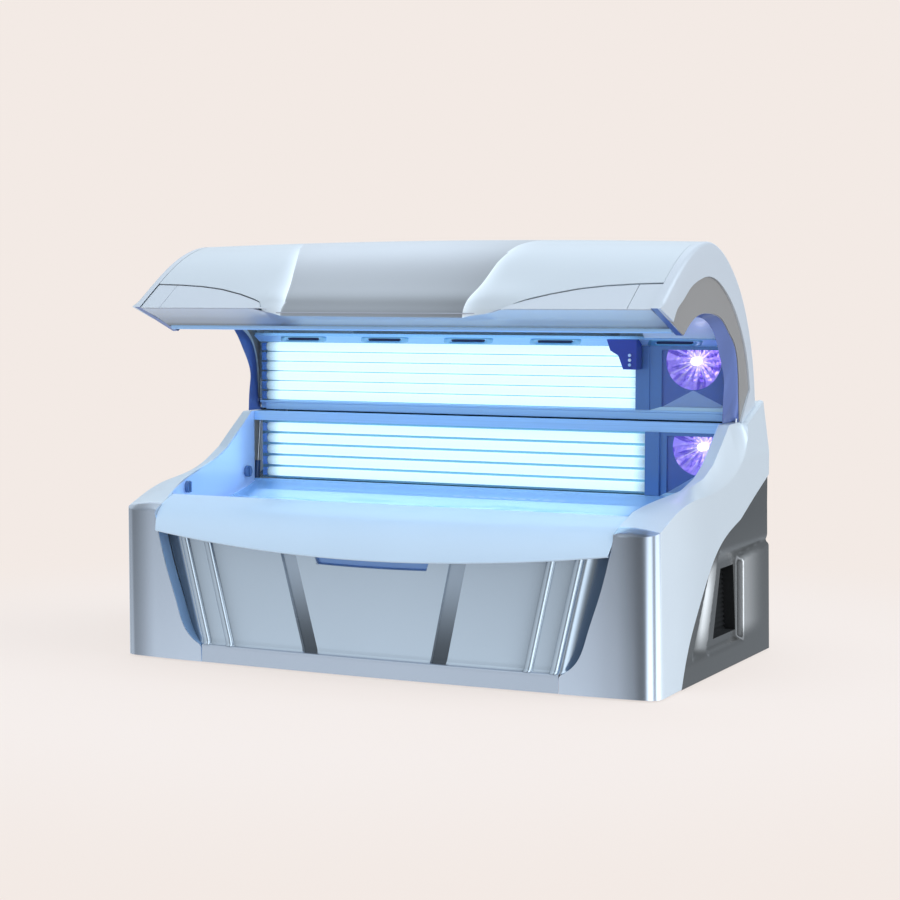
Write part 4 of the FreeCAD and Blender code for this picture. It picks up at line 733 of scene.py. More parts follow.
def sideX(y, z):
    # side face: it flares to the back, leans in up to the pillar's top, and above the shoulder closes in at
    # the back
    (footX, footY), (headX, headY) = footLine[-1], headLine[-1]
    foot = footX + (housing["footBack"] - footX) * (y - footY) / (housing["back"] - footY)
    back = np.clip((y - headY) / (housing["back"] - headY), 0, 1)
    head = headX + (housing["headBack"] - headX) * back
    ear = headX + (housing["earBack"] - headX) * back
    share = np.clip((z - housing["low"]) / (housing["top"] - housing["low"]), 0, 1)
    lift = np.clip((z - housing["shoulder"]) / (housing["earTop"] - housing["shoulder"]), 0, 1)
    return foot + (head - foot) * share + (ear - head) * lift


creaseLine = np.concatenate([curveThrough(housing["crease"][:11], 300), [housing["crease"][11]]])
bladeLine = np.array(housing["blade"])
sweepLine = np.concatenate([curveThrough(housing["sweep"], 200), np.array(housing["sweepEnd"])])


def creaseZ(y):
    return np.interp(y, creaseLine[:, 0], creaseLine[:, 1])


def housingShell(name, sign):
    # wall: from the floor, or from the dark panel's sweep, up to the outer crease; top: crease, blade, flat,
    # inner drop
    rows = np.linspace(0, 1, 60)[None, :]
    noseCols, sideCols = 72, 150
    lowZ = housing["low"]
    # front: from the pillar's inner edge round to the side
    topAlong = np.linspace(0, 1, noseCols)[:, None]
    z = lowZ + (0.590 - lowZ) * rows + topAlong * 0
    for _ in range(3):
        start = noseStart(z)
        x, y = noseAt(z, start + (1 - start) * topAlong)
        z = lowZ + (creaseZ(y[:, -1:]) - lowZ) * rows
    front = gridOf(x, y, z)
    # side: bottom path along the floor and the sweep, top path along the crease
    cornerY = front[-1, -1, 1]
    bottom = np.concatenate([[(front[-1, 0, 1], lowZ)], sweepLine[sweepLine[:, 1] >= lowZ]])
    top = np.concatenate([[tuple(front[-1, -1, 1:])], creaseLine[creaseLine[:, 0] > cornerY]])
    bottom, top = evenly(bottom, sideCols), evenly(top, sideCols)
    y, z = np.moveaxis(bottom[:, None, :] + (top - bottom)[:, None, :] * rows[..., None], -1, 0)
    wholeWall = np.concatenate([front, gridOf(sideX(y, z), y, z)[1:]], 0)
    # return into the bed along the pillar's inner edge
    edge = front[0][None]
    back = gridOf(edge[..., 0] - 0.0008, edge[..., 1] + np.array(housing["returns"])[:, None], edge[..., 2])
    # top: the outer crease runs all along the wall's upper border
    outer = wholeWall[:, -1]
    gone = np.linspace(0, 1, len(outer)) * len(outer) / noseCols
    sideShare = np.clip((outer[:, 1] - cornerY) / (housing["innerBack"] - cornerY), 0, 1)
    innerY = np.where(gone < 1, housing["innerFrom"] + gone * (housing["innerCorner"] - housing["innerFrom"]),
                      housing["innerCorner"] + sideShare * (housing["innerBack"] - housing["innerCorner"]))
    bladeX, bladeZ = [np.interp(innerY, bladeLine[:, 0], bladeLine[:, k]) for k in (1, 2)]
    innerLine = np.array(housing["inner"])
    innerX = np.minimum(np.interp(innerY, innerLine[:, 1], innerLine[:, 0]), bladeX - 0.002)
    blade = np.stack([bladeX, innerY, bladeZ], 1)
    levels = [outer + (blade - outer) * w + np.array([0, 0, housing["topCrown"] * np.sin(np.pi * w)])
              for w in np.linspace(0, 1, 12)]
    levels += [np.stack([bladeX + (innerX - bladeX) * w, innerY, bladeZ], 1) for w in (0.5, 1.0)]
    levels.append(np.stack([innerX, innerY, bladeZ - housing["innerDrop"]], 1))
    mirror = np.array([float(sign), 1.0, 1.0])
    shell = meshPiece(name, [wholeWall * mirror, np.stack(levels, 1) * mirror],
                      [(sign * 0.95, 0.1, 0.3), (sign * 1.08, 0.2, 0.2)], weld=0.0006, sharp=28)
    inner = meshPiece(name.replace("housing", "pillarReturn"), [back * mirror], (sign * 1.2, -0.5, 0.3))
    return wall(shell, 0.004, 0.004, 3, 42), wall(inner, 0.003, 0.0008)


def housingPaintedLight(x, y, z):
    # painted shade on the pillar: darker towards its corner and its top; on the side, painted shade darker to the
    # back and a painted highlight just behind the corner
    front = 1 - smoothStep(-0.545, -0.530, y)
    corner = smoothStep(0.955, 1.060, x) * (1 - smoothStep(1.066, 1.082, x))
    pillar = (1 - 0.46 * corner) * (1.14 - 0.28 * z / housing["top"])
    behind = 1.22 - 0.16 * smoothStep(-0.50, 0.02, y)
    return pillar * front + behind * (1 - front)


for side, sign in (("Right", 1), ("Left", -1)):
    shell, inner = housingShell("housing" + side, sign)
    settle(shell, "base", looks["pillar"], "silver_cover", "side_cover_" + side.lower())
    paintedLightLayer(shell, housingPaintedLight)
    # painted light: the side faces take a paler, less metallic copy of the pillar's lacquer so that this side of
    # the one cover looks lit
    secondFinish(shell.data, "side", lambda x, y, z: (y > housing["cornerEnd"]) & (np.abs(x) > 0.93))
    settle(inner, "base", looks["return"], "silver_cover")
print("end housings done")


# ---- base: dark rear panels with their air outlets

darkPanel = {
    "ventLow": 0.129, "ventHigh": 0.3865, "ventLeft": [(0.129, 0.0745), (0.3865, 0.161)],
    "ventRight": [(0.129, 0.329), (0.3865, 0.307)], "seam": 0.0012, "inset": 0.006,
    "fluteFrom": [(0.08, -0.215), (0.45, 0.02)], "fluteTo": [(0.08, -0.06),
                                                             (0.45, 0.085)], "fluteDepth": 0.022,
    "plinthTop": 0.085, "bossTop": 0.405, "bossFrom": 0.345, "bossRise": 0.10,
    "hollow": 0.020, "hollowTop": 0.44,
    "wellDepth": 0.040, "bladeDepth": 0.012, "blades": 14, "top": 0.705,
}


def fluteAcross(y, z):   # 0 at the flute's front edge, 1 at its rear one
    front, rear = [along(darkPanel[key], z) for key in ("fluteFrom", "fluteTo")]
    return (y - front) / (rear - front)


def underBossTop(y, z, soft):   # 1 below the boss's slanted upper edge, 0 above it
    top = darkPanel["bossTop"]
    return 1 - smoothStep(top - 0.012, top + soft, z - (y - darkPanel["bossFrom"]) * darkPanel["bossRise"])


def darkX(y, z):
    # face of the dark panel: it lies in by the inset but for the plinth band and the boss behind the outlet;
    # a flute runs down in front, and between flute and boss the face is hollowed
    across = np.clip(fluteAcross(y, z), 0, 1)
    flute = np.sin(np.pi * across ** 0.6) * smoothStep(0.085, 0.12, z) * (1 - smoothStep(0.36, 0.47, z))
    boss = smoothStep(darkPanel["bossFrom"] - 0.010, darkPanel["bossFrom"] + 0.014,
                      y) * underBossTop(y, z, 0.012)
    plinth = 1 - smoothStep(darkPanel["plinthTop"] - 0.006, darkPanel["plinthTop"] + 0.022, z)
    edge = 1 - smoothStep(0.0, 0.02, y - np.interp(z, sweepLine[:, 1], sweepLine[:, 0]))
    hollow = smoothStep(0.0, 0.035, y - along(darkPanel["fluteTo"], z)) * (1 - boss) * (1 - plinth) \
        * (1 - smoothStep(darkPanel["hollowTop"] - 0.03, darkPanel["hollowTop"] + 0.03, z))
    inset = darkPanel["inset"] * (1 - np.maximum(np.maximum(boss, plinth), edge * 0.6)) \
        + darkPanel["fluteDepth"] * flute + darkPanel["hollow"] * hollow
    return sideX(y, z) - 0.0004 - inset


def darkPanelPaintedLight(x, y, z):
    # painted highlights: the flute and the boss look lit on their front sides; painted shade keeps the top and
    # the back of the panel dark
    across = fluteAcross(y, z)
    height = smoothStep(0.09, 0.20, z) * (1 - smoothStep(0.30, 0.46, z))
    flute, groove = [np.exp(-((across - at) / wide) ** 2) * height for at,
                     wide in ((0.62, 0.26), (0.10, 0.16))]
    boss = smoothStep(darkPanel["bossFrom"] + 0.002, darkPanel["bossFrom"] + 0.012, y) \
        * underBossTop(y, z, 0.006) * smoothStep(0.09, 0.16, z)
    lit = boss * (1 - smoothStep(darkPanel["bossFrom"], 0.62, y)) ** 1.2
    return 0.75 + 3.2 * flute - 0.45 * groove + 4.2 * lit + 0.35 * (1 - smoothStep(0.40, 0.60, z))


def ventWell(name, sign):
    # black well behind the outlet: its walls run in from the opening, its bottom is a stack of slanted blades
    up = np.linspace(0, 1, 97)[None, :]
    z = darkPanel["ventLow"] + (darkPanel["ventHigh"] - darkPanel["ventLow"]) * up
    left, right = along(darkPanel["ventLeft"], z), along(darkPanel["ventRight"], z)
    y = left + (right - left) * np.linspace(0, 1, 7)[:, None]
    blade = darkPanel["bladeDepth"] * np.mod(up * darkPanel["blades"], 1.0)
    bottom = gridOf(sign * (darkX(y, z) - darkPanel["wellDepth"] - blade), y, z)
    rim = np.concatenate([bottom[:, 0], bottom[-1, 1:], bottom[-2::-1, -1], bottom[0, -2::-1]])
    deep, y, z = np.abs(rim[:, :1]), rim[:, 1:2], rim[:, 2:]
    sides = gridOf(sign * (deep + (darkX(y, z) - 0.002 - deep) * np.linspace(0, 1, 4)[None, :]), y, z)
    return meshPiece(name, [bottom, sides], [(0.0, 0.2, 0.25), (sign * 1.12, 0.21, 0.25)], sharp=30)


def darkShell(name, sign):
    # rows by height, columns from the sweep to the back with breaks on the outlet's two edges
    low, high, back = darkPanel["ventLow"], darkPanel["ventHigh"], housing["back"]
    zs = np.concatenate([np.linspace(housing["low"], low, 22), np.linspace(low, high, 36)[1:],
                         np.linspace(high, darkPanel["top"], 44)[1:]])
    sweepY = np.interp(zs, sweepLine[:, 1], sweepLine[:, 0]) + darkPanel["seam"]
    atTop = np.interp(high, zs, sweepY)
    lines = [sweepY]
    for edge in (darkPanel["ventLeft"], darkPanel["ventRight"]):
        share = (edge[1][1] - atTop) / (back - atTop)   # above the outlet its edges go on at an even share
        lines.append(np.where(zs > high, sweepY + (back - sweepY) * share, along(edge, zs)))
    lines.append(np.full_like(zs, back))
    counts, y = (60, 30, 110), sweepY[:, None]
    for a, b, count in zip(lines, lines[1:], counts):
        y = np.concatenate([y, a[:, None] + (b - a)[:, None] * np.linspace(0, 1, count)[None, 1:]], 1)
    z = zs[:, None] + 0 * y
    skip = np.zeros((len(zs) - 1, y.shape[1] - 1), bool)
    middleZ = (zs[:-1] + zs[1:]) / 2
    opening = np.arange(counts[0] - 1, counts[0] + counts[1] - 2)
    skip[np.ix_((middleZ > low) & (middleZ < high), opening)] = True
    piece = meshPiece(name, [gridOf(sign * darkX(y, z), y, z)], (0, 0.2, 0.3), sharp=30, skip=[skip])
    return wall(piece, 0.0035, 0.0008)


for side, sign in (("Right", 1), ("Left", -1)):
    cover = settle(darkShell("darkPanel" + side, sign), "base", looks["dark"], "dark_panel",
                   "side_panel_" + side.lower())
    paintedLightLayer(cover, darkPanelPaintedLight)
    well = ["side_vents"] if sign > 0 else []
    settle(ventWell("ventWell" + side, sign), "base", looks["ventBlack"], "black_plastic", *well)
print("dark panels done")


# ---- base: lip, front panel and plinth

lip = {"end": 0.925, "crest": (-0.452, 0.640), "edgeEnd": 0.510, "edgeMiddle": 0.457, "reachEnd": 0.612,
       "reachMiddle": 0.669, "hem": 0.014, "wall": 0.004}


def frontLip():
    # bowed band: each column is a curve from the crest out and down to the hem, which turns back under it
    share, columns = np.linspace(-1, 1, 161), []
    (crestY, crestZ), end = lip["crest"], lip["end"]
    for bow in 1 - (share * 0.96 / end) ** 2:
        reach = lip["reachEnd"] + (lip["reachMiddle"] - lip["reachEnd"]) * bow
        low = lip["edgeEnd"] + (lip["edgeMiddle"] - lip["edgeEnd"]) * bow
        drop, out = crestZ - low, reach + crestY
        line = curveThrough([(crestY - out * far, crestZ - drop * down)
                             for far, down in ((0, 0), (0.42, 0.2), (0.8, 0.56))] + [(-reach, low)], 40)
        hem = [(-reach + 0.0015, low - 0.004), (-reach + 0.006, low - 0.0062),
               (-reach + lip["hem"], low - 0.006)]
        columns.append(np.concatenate([line, hem]))
    y, z = np.moveaxis(np.stack(columns), -1, 0)
    x = share[:, None] * (edgeX(np.minimum(z, 0.64)) - 0.0012)
    return wall(meshPiece("frontLip", [gridOf(x, y, z)], (0, -0.3, 0.4)), lip["wall"], 0.0008)


panel = {
    "low": 0.0765, "topZ": 0.510,
    "bottom": [(-0.860, -0.566), (-0.500, -0.572), (0.0, -0.576), (0.500, -0.572), (0.860, -0.566)],
    "top": [(-0.930, -0.572), (-0.500, -0.590), (0.0, -0.602), (0.500, -0.590), (0.930, -0.572)],
    "ribs": [(0.830, 0.727), (0.725, 0.625)], "ribWidth": 0.036, "ribHeight": 0.012,
    "channel": (0.368, 0.268), "channelWidth": 0.066, "channelDepth": 0.010, "endDepth": 0.045,
    "grip": 0.240, "gripSlant": 0.35, "gripHeight": 0.036, "gripDepth": 0.014, "gap": 0.003, "soft": 0.003,
    "coveFrom": 0.098, "coveHeight": 0.0215, "coveReach": 0.010, "topLimit": 0.53,
}


def lipHem(x):   # height of the lip's front edge
    return lip["edgeEnd"] + (lip["edgeMiddle"] - lip["edgeEnd"]) * (1 - (x / lip["end"]) ** 2)


def panelUp(z):   # 0 at the panel's foot, 1 at its top
    return (z - panel["low"]) / (panel["topZ"] - panel["low"])


def gripX(x, z):   # half width of the finger recess at a height
    return panel["grip"] - (lipHem(x) - z) * panel["gripSlant"]


def slanted(topX, bottomX, shift, up):
    return bottomX + (topX - bottomX) * up + shift


def panelColumns(x, z):
    # keyed columns of one half: middle, grip, channel, the two ribs and the end, each along its own slant
    up, half, soft = panelUp(z), panel["channelWidth"] / 2, panel["soft"]
    keys = [0 * up, gripX(x, z) - soft, gripX(x, z) + soft]
    keys += [slanted(*panel["channel"], shift, up) for shift in (-half, soft - half, half - soft, half)]
    for rib in panel["ribs"][::-1]:
        keys += [slanted(*rib, shift, up) for shift in (-panel["ribWidth"] / 2, panel["ribWidth"] / 2)]
    return keys + [edgeX(z) - panel["gap"]]


def panelFront():
    # ribs, channels and the finger recess are soft-edged steps on the bowed front; its foot coves out to the
    # plinth
    counts = [30, 3, 14, 3, 8, 3, 24, 16, 10, 16, 26]
    segment = np.append(np.repeat(np.arange(len(counts)), counts), len(counts) - 1)[:, None]
    within = np.append(np.concatenate([np.arange(n) / n for n in counts]), 1.0)[:, None]
    low, high = np.linspace(0, 1, 70)[None, :], np.linspace(0.1, 1, 12)[None, :]
    soft = panel["soft"]
    lineX = 0.93 * (segment + within) / len(counts)   # where each column crosses the recess's lower line
    for _ in range(8):
        hem = lipHem(lineX) - panel["gap"]
        line = hem - panel["gripHeight"]
        z = np.concatenate([panel["low"] + (line - soft - panel["low"]) * low, line, line + soft,
                            line + soft + (hem + 0.020 - line - soft) * high], 1)
        z = np.minimum(z, panel["topLimit"])
        keys = np.stack(np.broadcast_arrays(*panelColumns(np.broadcast_to(lineX, z.shape), z)))
        a, b = [np.take_along_axis(keys, np.broadcast_to(segment + k, z.shape)[None], 0)[0] for k in (0, 1)]
        x = a + (b - a) * within
        lineX = x[:, low.size:low.size + 1]
    x, z = np.concatenate([-x[:0:-1], x]), np.concatenate([z[:0:-1], z])
    up, size = panelUp(z), np.abs(x)
    bottom, head = curveThrough(panel["bottom"], 200), curveThrough(panel["top"], 200)
    y = along(bottom, x) * (1 - up) + along(head, x) * up
    out = np.zeros_like(y)
    for rib in panel["ribs"]:
        off = np.abs(size - slanted(*rib, 0, up))
        out += panel["ribHeight"] * np.sqrt(np.clip(1 - (off / (panel["ribWidth"] / 2)) ** 2, 0, 1))
    off, half = np.abs(size - slanted(*panel["channel"], 0, up)), panel["channelWidth"] / 2
    out -= panel["channelDepth"] * (1 - smoothStep(half - soft, half, off))
    out -= panel["endDepth"] * smoothStep(0.0, 0.09, size - slanted(*panel["ribs"][0], panel["ribWidth"] / 2,
                                                                    up))
    line = lipHem(x) - panel["gap"] - panel["gripHeight"]
    grip = (1 - smoothStep(gripX(x, z) - soft, gripX(x, z) + soft, size)) * smoothStep(-soft, soft, z - line)
    out = out * (1 - grip) - panel["gripDepth"] * grip
    cove = np.clip((panel["coveFrom"] - z) / panel["coveHeight"], 0, 1)
    out += panel["coveReach"] * (1 - np.sqrt(1 - cove ** 2 * 0.98))
    return wall(meshPiece("frontPanel", [gridOf(x, y - out, z)], (0, 0.0, 0.3), sharp=40), 0.003, 0)


def inChannel(x, y, z):
    off = np.abs(np.abs(x) - slanted(*panel["channel"], 0, panelUp(z)))
    return off < panel["channelWidth"] / 2 - panel["soft"] * 0.9


def inGrip(x, y, z):
    return (np.abs(x) < gripX(x, z)) & (z > lipHem(x) - panel["gap"] - panel["gripHeight"])


plinth = {"half": 0.7475, "bow": [(-0.747, -0.584), (-0.400, -0.592), (0.0, -0.596), (0.400, -0.592),
                                  (0.747, -0.584)]}


def plinthBand():
    # bowed kick band with a rounded upper edge and a shelf that runs back under the panel
    x = np.linspace(-plinth["half"], plinth["half"], 121)[:, None]
    outline = np.concatenate([[(0.0, 0.006), (0.0, 0.03), (0.0, 0.060)],
                              arcPoints((0.008, 0.068), 0.008, 180, 90, 6),
                              [(0.05, 0.076)]])
    band = gridOf(x, along(curveThrough(plinth["bow"], 200), x) + outline[None, :, 0], outline[None, :, 1])
    return wall(meshPiece("plinthBand", [band], (0, -0.3, 0.0)), 0.0035, 0.0008)


def panelPaintedLight(x, y, z):
    # painted light and shade: dark outside the outer ribs, a dark edge inside each rib, warm and darker at the
    # top, lighter at the foot
    up, half = panelUp(z), panel["ribWidth"] / 2
    tone = (1.08 - 0.20 * up) * (1 - 0.62 * smoothStep(0.0, 0.035, x - slanted(*panel["ribs"][0], half, up)))
    for rib in panel["ribs"]:
        inside = slanted(*rib, -half, up) - x
        tone *= 1 - 0.30 * np.exp(-np.clip(inside, 0, 1) / 0.030) * smoothStep(-0.008, 0.0, inside)
    return tone


# the lip's finish paints the lamps' glow and shade on it
settle(frontLip(), "base", looks["lip"], "pale_cover", "front_lip")
front = settle(panelFront(), "front_panel", looks["panel"], "grey_cover", "front_panel")
paintedLightLayer(front, panelPaintedLight)
# the channels take the painted shade finish
secondFinish(front.data, "channel", inChannel)
secondFinish(front.data, "grip", inGrip)
settle(plinthBand(), "base", looks["silver"], "silver_cover", "front_plinth")
print("front done")


# ---- bench sheet

bench = {"line": [(-0.446, 0.634), (-0.300, 0.596), (-0.120, 0.575), (0.060, 0.584), (0.190, 0.606),
                  (0.300, 0.638)],
         "edge": [(-0.460, 0.932), (-0.330, 0.958), (-0.200, 0.998), (-0.090, 1.020), (0.330, 1.020)],
         "thick": 0.008, "wave": 0.0025}


def benchSheet():
    # dished sheet, its half width growing towards the back, with slow body-shaped waves in it
    line = curveThrough(bench["line"], 80)
    y, z = line.T[:, None, :]
    x = np.linspace(-1, 1, 160)[:, None] * along(bench["edge"], y)
    fade = np.sin(np.pi * np.linspace(0, 1, 80))[None, :] * (1 - (x / 1.02) ** 4)
    wave = bench["wave"] * (np.sin(x * 7.0 + 1.1) * 0.6 + np.sin(x * 13.0 + y * 9.0) * 0.4) * fade
    sheet = meshPiece("benchSheet", [gridOf(x, y, z - np.abs(wave))], (0, 0.0, -1.0))
    return wall(sheet, bench["thick"] - 0.001, 0.0015)


settle(benchSheet(), "bench_acrylic", looks["bench"], "clear_acrylic", "bench_acrylic")


# ---- face lamps

faceLamp = {
    "radius": 0.1125, "bulb": 0.016, "depth": 0.060, "glass": 0.0095, "petals": 16,
    "base": {"centre": (0.962, 0.833), "y": 0.326, "window": (0.772, 1.0425, 0.6395, 0.8865)},
    "canopy": {"centre": (0.908, 1.165), "y": 0.396, "window": (0.724, 1.0600, 0.9725, 1.2215)},
}


def faceDish(body):
    # bowl round the lamp's axis: depth falls with the square of the radius, petals and steps ripple it,
    # and each ray ends at the rim or at the edge of the lamp's window, whichever comes first
    look, petals = faceLamp[body], faceLamp["petals"]
    cx, cz = look["centre"]
    left, right, low, high = look["window"]
    turn = np.linspace(0, 2 * np.pi, petals * 12 + 1)[None, :]
    reach = faceLamp["radius"]
    for way, near, far in ((np.sin(turn), low - cz, high - cz), (np.cos(turn), left - cx, right - cx)):
        toEdge = np.where(way > 0, far, near) / np.where(np.abs(way) < 1e-6, 1e-6, way)
        reach = np.minimum(reach, np.abs(toEdge))
    r = faceLamp["bulb"] + (reach - faceLamp["bulb"]) * np.linspace(0, 1, 30)[:, None]
    part = r / faceLamp["radius"]
    ripple = 0.005 * np.abs(np.sin(turn * petals / 2)) * part
    steps = 0.0018 * np.abs(np.sin(r * 150.0 + 2.0 * np.sin(turn * 3)))
    depth = look["y"] + faceLamp["glass"] + faceLamp["depth"] * (1 - part ** 2) - (ripple + steps) * (1
                                                                                                      - part ** 8)
    bowl = gridOf(cx + r * np.cos(turn), depth, cz + r * np.sin(turn))
    piece = meshPiece("faceDish" + body.title(), [bowl], (cx, look["y"] + 1.0, cz), sharp=12)
    loops = np.zeros(len(piece.data.loops), np.int32)
    piece.data.loops.foreach_get("vertex_index", loops)
    x, _, z = (places(piece.data.vertices, "co")[loops] - np.array([cx, 0, cz])).T
    uv = np.stack([np.arctan2(z, x) / (2 * np.pi), np.hypot(z, x) / faceLamp["radius"]], 1)
    piece.data.uv_layers.new(name="dish").data.foreach_set("uv", uv.astype(np.float32).ravel())
    # the dish glows with a painted reflection of the bulb
    return settle(piece, body, looks["facetPaintedGlow"], "filter_glass")


faceDish("base")
faceDish("canopy")
print("bench and face lamps done")


# ---- air slots over the canopy's lamps

airSlot = {"places": [-0.830, -0.440, -0.053, 0.334, 0.842], "half": 0.112, "inner": 0.078,
           "low": (0.394, 1.2245), "high": (0.349, 1.2508), "slotFrom": 0.30, "slotTo": 0.80, "slant": 0.012}


slotLow = np.array(airSlot["low"])
slotWay = np.array(airSlot["high"]) - slotLow
slotDown = np.array([-slotWay[1], slotWay[0]]) / np.linalg.norm(slotWay)   # square to the strip, out of it


def slotGrid(x, share, out):   # points on the strip: share up its slant, out of its face
    return gridOf(x, slotLow[0] + slotWay[0] * share + slotDown[0] * out,
                  slotLow[1] + slotWay[1] * share + slotDown[1] * out)


def airSlotFrames():
    # slanted frames on the strip: a ring between the outer edge and the slot, with a shallow trough behind it
    turn = np.linspace(0, 2 * np.pi, 41)[:, None]
    wide, tall = [np.sign(way) * np.abs(way) ** 0.25 for way in (np.cos(turn), np.sin(turn))]
    half, inner = airSlot["half"], airSlot["inner"]
    rings = ((half, 0.04, 0.97, 0.0003), (half - 0.004, 0.10, 0.92, 0.003),
             (inner + 0.004, 0.24, 0.84, 0.003),
             (inner, airSlot["slotFrom"], airSlot["slotTo"], 0.0008))
    frames = [np.stack([slotGrid(place + across * wide + airSlot["slant"] * tall,
                                 (a + b) / 2 + (b - a) / 2 * tall,
                                 out)[:,
                                      0] for across, a, b, out in rings], 1) for place in airSlot["places"]]
    return meshPiece("airSlotFrames", frames, (0, 0.6, 1.4), sharp=40)


def airSlotTroughs():
    # dark bottom of each slot, dished inwards
    across = np.linspace(-1, 1, 25)[:, None]
    share = np.linspace(airSlot["slotFrom"] - 0.02, airSlot["slotTo"] + 0.02, 9)[None, :]
    dish = 0.006 * (1 - across ** 6) * np.sin(np.pi * np.linspace(0, 1, 9))[None, :]
    slots = [slotGrid(place + airSlot["inner"] * 1.01 * across + airSlot["slant"] * (share * 2 - 1), share,
                      -0.0005 - dish) for place in airSlot["places"]]
    return meshPiece("airSlotTroughs", slots, (0, 0.6, 1.4), sharp=40)


settle(airSlotFrames(), "canopy", looks["slotFrame"], "rail_aluminium")
settle(airSlotTroughs(), "canopy", looks["slotDark"], "navy_plastic")
print("air slots done")


# ---- CAD nodes that keep their shape

kept = {
    "base_frame": "frame", "levelling_feet": "rubber", "floor_pan": "zinc", "rear_cover": "hood",
    "wall_acrylic": "glass", "base_reflectors": "mirror", "base_lamps": "baseLamp",
    "base_lampholders": "holder",
    "base_rails": "rail", "inner_walls": "innerWall", "base_face_housing": "slate", "base_face_bulb": "bulb",
    "base_face_glass": "filter", "ballasts": "ballast", "fan_housing": "black", "fan_rotor": "black",
    "control_box": "zinc", "cable_gland": "black", "hinge_brackets": "steel", "hinge_pins": "steel",
    "cover_screws": "steel", "gas_spring_cylinder_right": "gloss", "gas_spring_cylinder_left": "gloss",
    "gas_spring_rod_right": "chrome", "gas_spring_rod_left": "chrome", "lock_knob_right_1": "knob",
    "lock_knob_left_1": "knob", "lock_knob_right_2": "knob", "lock_knob_left_2": "knob",
    "canopy_frame": "frame",
    "canopy_shroud": "hood", "canopy_reflector": "mirror", "canopy_lamps": "canopyLamp",
    "canopy_lampholders": "holder", "canopy_acrylic": "glass", "canopy_rear_rail": "rail",
    "canopy_face_housing": "slate", "canopy_face_bulb": "bulb", "canopy_face_glass": "filter",
    "control_pod": "navy", "start_button": "green", "fan_button": "white", "face_button": "amber",
}
for name, look in kept.items():
    mesh = nodes[name].data
    mesh.materials.clear()
    mesh.materials.append(looks[look])


shelves = {"canopy_face_housing": (0.76, 0.39, 1.012), "base_face_housing": (0.81, 0.32, 0.675)}
secondFinish(nodes["canopy_face_housing"].data, "ceiling", lambda x, y, z: z > airSlot["low"][1])
for name, (fromX, fromY, underZ) in shelves.items():
    secondFinish(nodes[name].data, "shelf", lambda x, y, z: (z < underZ) & (x > fromX) & (y > fromY))
print("kept nodes painted:", len(kept))


# ---- floor, light and camera

studio = {
    "backdrop": (0.896, 0.823, 0.783), "shadow": 0.22, "fadeFrom": 1.7, "fadeTo": 3.6, "floorTone": 1.12,
    # brightness of the studio round the bed, by direction: degrees from the front towards the head end
    "around": [(-180, 0.95), (-150, 1.00), (-95, 0.50), (-60, 0.60), (-28, 0.80), (-16, 0.72), (-8, 0.22),
               (8, 0.20), (18, 2.00), (38, 2.10), (52, 0.50), (70, 0.50), (84,
                                                                           2.00), (118, 2.20), (136, 0.90),
               (154, 0.50), (170, 0.45), (180, 0.95)],
    # and by height: degrees over the horizon
    "over": [(-90, 0.60), (-16, 1.15), (-6, 0.92), (2, 1.00), (14, 0.90), (26, 1.00), (42, 1.20), (58, 1.00),
             (74, 0.70), (90, 0.70)],
    "tint": (0.80, 0.90, 1.0), "floorHalf": 30,
    # soft lights: place, target, size, power in watts and colour
    "boxes": {
        "topLight": ((0.0, -0.2, 4.4), (0, 0, 0.8), (4.5, 1.6), 45, (1, 1, 1)),
        "frontLight": ((-3.2, -5.2, 2.2), (0, 0, 0.7), (2.5, 2.5), 25, (1, 1, 1)),
        "sideLight": ((5.0, 0.6, 2.2), (1.0, 0, 0.7), (2.0, 3.0), 30, (1, 1, 1)),
        "tubeGlow": ((-0.10, 0.22, 0.90), (-0.10, -1.0, 0.80), (1.7, 0.45), 5, (0.40, 0.68, 1.0)),
    },
    # camera: place in metres, turn to the left and tilt down in radians, sensor width and lens in millimetres
    "camera": {"place": (3.4979, -7.2355, 1.4285), "yaw": 0.4457, "pitch": 0.0763, "sensor": 36.0,
               "lens": 81.56},
}


def emptyTree(owner):
    owner.use_nodes = True
    owner.node_tree.nodes.clear()
    return owner.node_tree


def stageFloor():
    # the floor takes a soft shadow near the bed and fades into the backdrop's own tone further out
    mesh = bpy.data.meshes.new("stageFloor")
    corners = [(x * studio["floorHalf"], y * studio["floorHalf"], 0) for x,
               y in ((-1, -1), (1, -1), (1, 1), (-1, 1))]
    mesh.from_pydata(corners, [], [(0, 1, 2, 3)])
    floor = intoScene("stageFloor", mesh)
    finish = bpy.data.materials.new("stageFloor")
    tree = emptyTree(finish)
    flat = add(tree, "Emission", {"Color": (*studio["backdrop"], 1)})
    lifted = [min(channel * studio["floorTone"], 1) for channel in studio["backdrop"]]
    cloth = add(tree, "BsdfDiffuse", {"Color": (*lifted, 1)})
    reach = add(tree, "VectorMath", {0: add(tree, "TexCoord").outputs["Object"]}, operation="LENGTH")
    fade = spread(tree, reach.outputs["Value"], studio["shadow"], 0.0, studio["fadeFrom"], studio["fadeTo"],
                  True)
    both = add(tree, "MixShader", {"Fac": fade, 1: flat.outputs[0], 2: cloth.outputs[0]})
    add(tree, "OutputMaterial", {"Surface": both.outputs[0]})
    mesh.materials.append(finish)
    floor.visible_glossy = False     # the bed mirrors the studio walls down to its foot


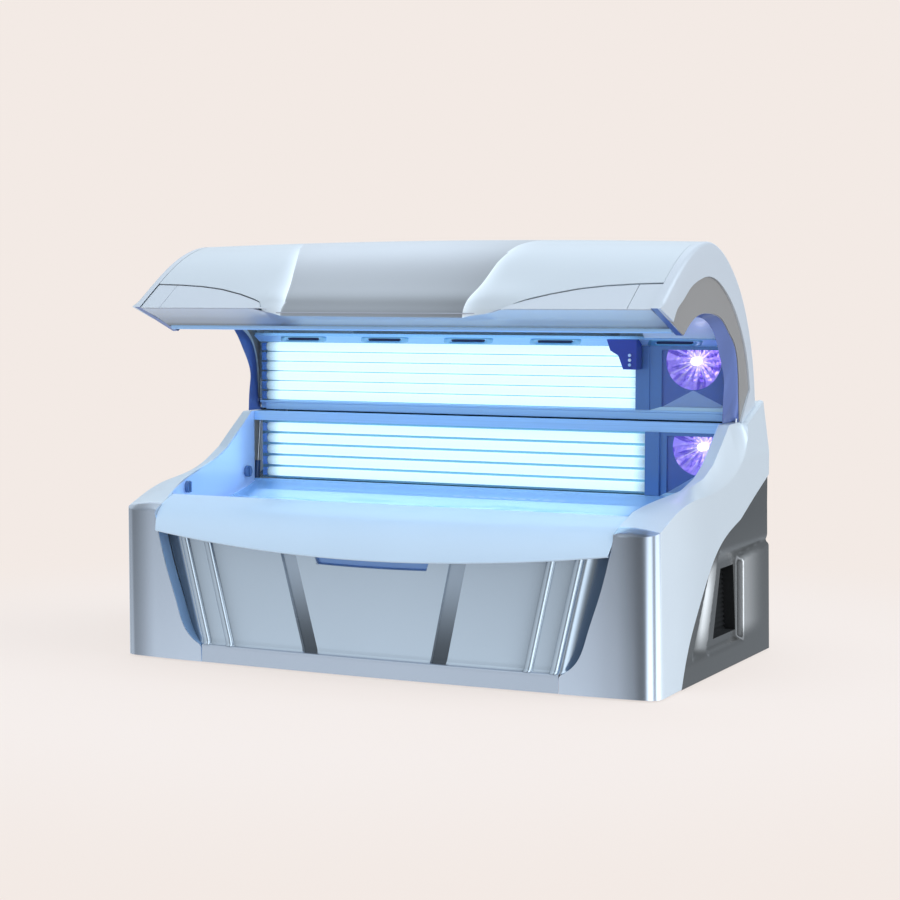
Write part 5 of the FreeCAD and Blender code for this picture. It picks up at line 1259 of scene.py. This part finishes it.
def byAngle(tree, angle, stops):   # brightness along a ramp of angles in degrees, the first and last close it
    first, last = stops[0][0], stops[-1][0]
    top = max(value for _, value in stops)
    share = spread(tree, angle, 0.0, 1.0, math.radians(first), math.radians(last))
    grey = ramp(tree, share, [((at - first) / (last - first), (value / top,) * 3) for at, value in stops])
    return maths(tree, "MULTIPLY", grey, top)


def studioWorld():
    # the camera sees the backdrop; the bed is lit by bright and dark walls that change with direction and
    # height
    world = bpy.data.worlds.new("studio")
    bpy.context.scene.world = world
    tree = emptyTree(world)
    way = add(tree, "SeparateXYZ", {"Vector": add(tree, "TexCoord").outputs["Generated"]}).outputs
    turn = maths(tree, "ARCTAN2", way["X"], maths(tree, "MULTIPLY", way["Y"], -1.0))
    rise = maths(tree, "ARCSINE", way["Z"])
    power = maths(tree, "MULTIPLY", byAngle(tree, turn, studio["around"]),
                  byAngle(tree, rise, studio["over"]))
    light = add(tree, "Background", {"Color": (*studio["tint"], 1), "Strength": power})
    seen = add(tree, "Background", {"Color": (*studio["backdrop"], 1)})
    both = add(tree, "MixShader", {"Fac": add(tree, "LightPath").outputs["Is Camera Ray"],
                                   1: light.outputs[0], 2: seen.outputs[0]})
    add(tree, "OutputWorld", {"Surface": both.outputs[0]})


def softBox(name, place, target, size, power, colour):
    data = bpy.data.lights.new(name, "AREA")
    data.shape = "RECTANGLE"
    data.size, data.size_y = size
    data.energy = power
    data.color = colour
    box = intoScene(name, data)
    box.location = place
    box.rotation_euler = (Vector(target) - Vector(place)).to_track_quat("-Z", "Y").to_euler()
    box.visible_camera = box.visible_glossy = False


def viewCamera(place, yaw, pitch, sensor, lens):
    data = bpy.data.cameras.new("viewCamera")
    data.sensor_width, data.lens, data.clip_end = sensor, lens, 100.0
    camera = intoScene("viewCamera", data)
    camera.location = place
    ahead = Vector((-math.sin(yaw) * math.cos(pitch), math.cos(yaw) * math.cos(pitch), -math.sin(pitch)))
    camera.rotation_euler = ahead.to_track_quat("-Z", "Y").to_euler()
    bpy.context.scene.camera = camera


stageFloor()
studioWorld()
for name, values in studio["boxes"].items():
    softBox(name, *values)
viewCamera(**studio["camera"])
bpy.context.scene.view_settings.view_transform = "Standard"
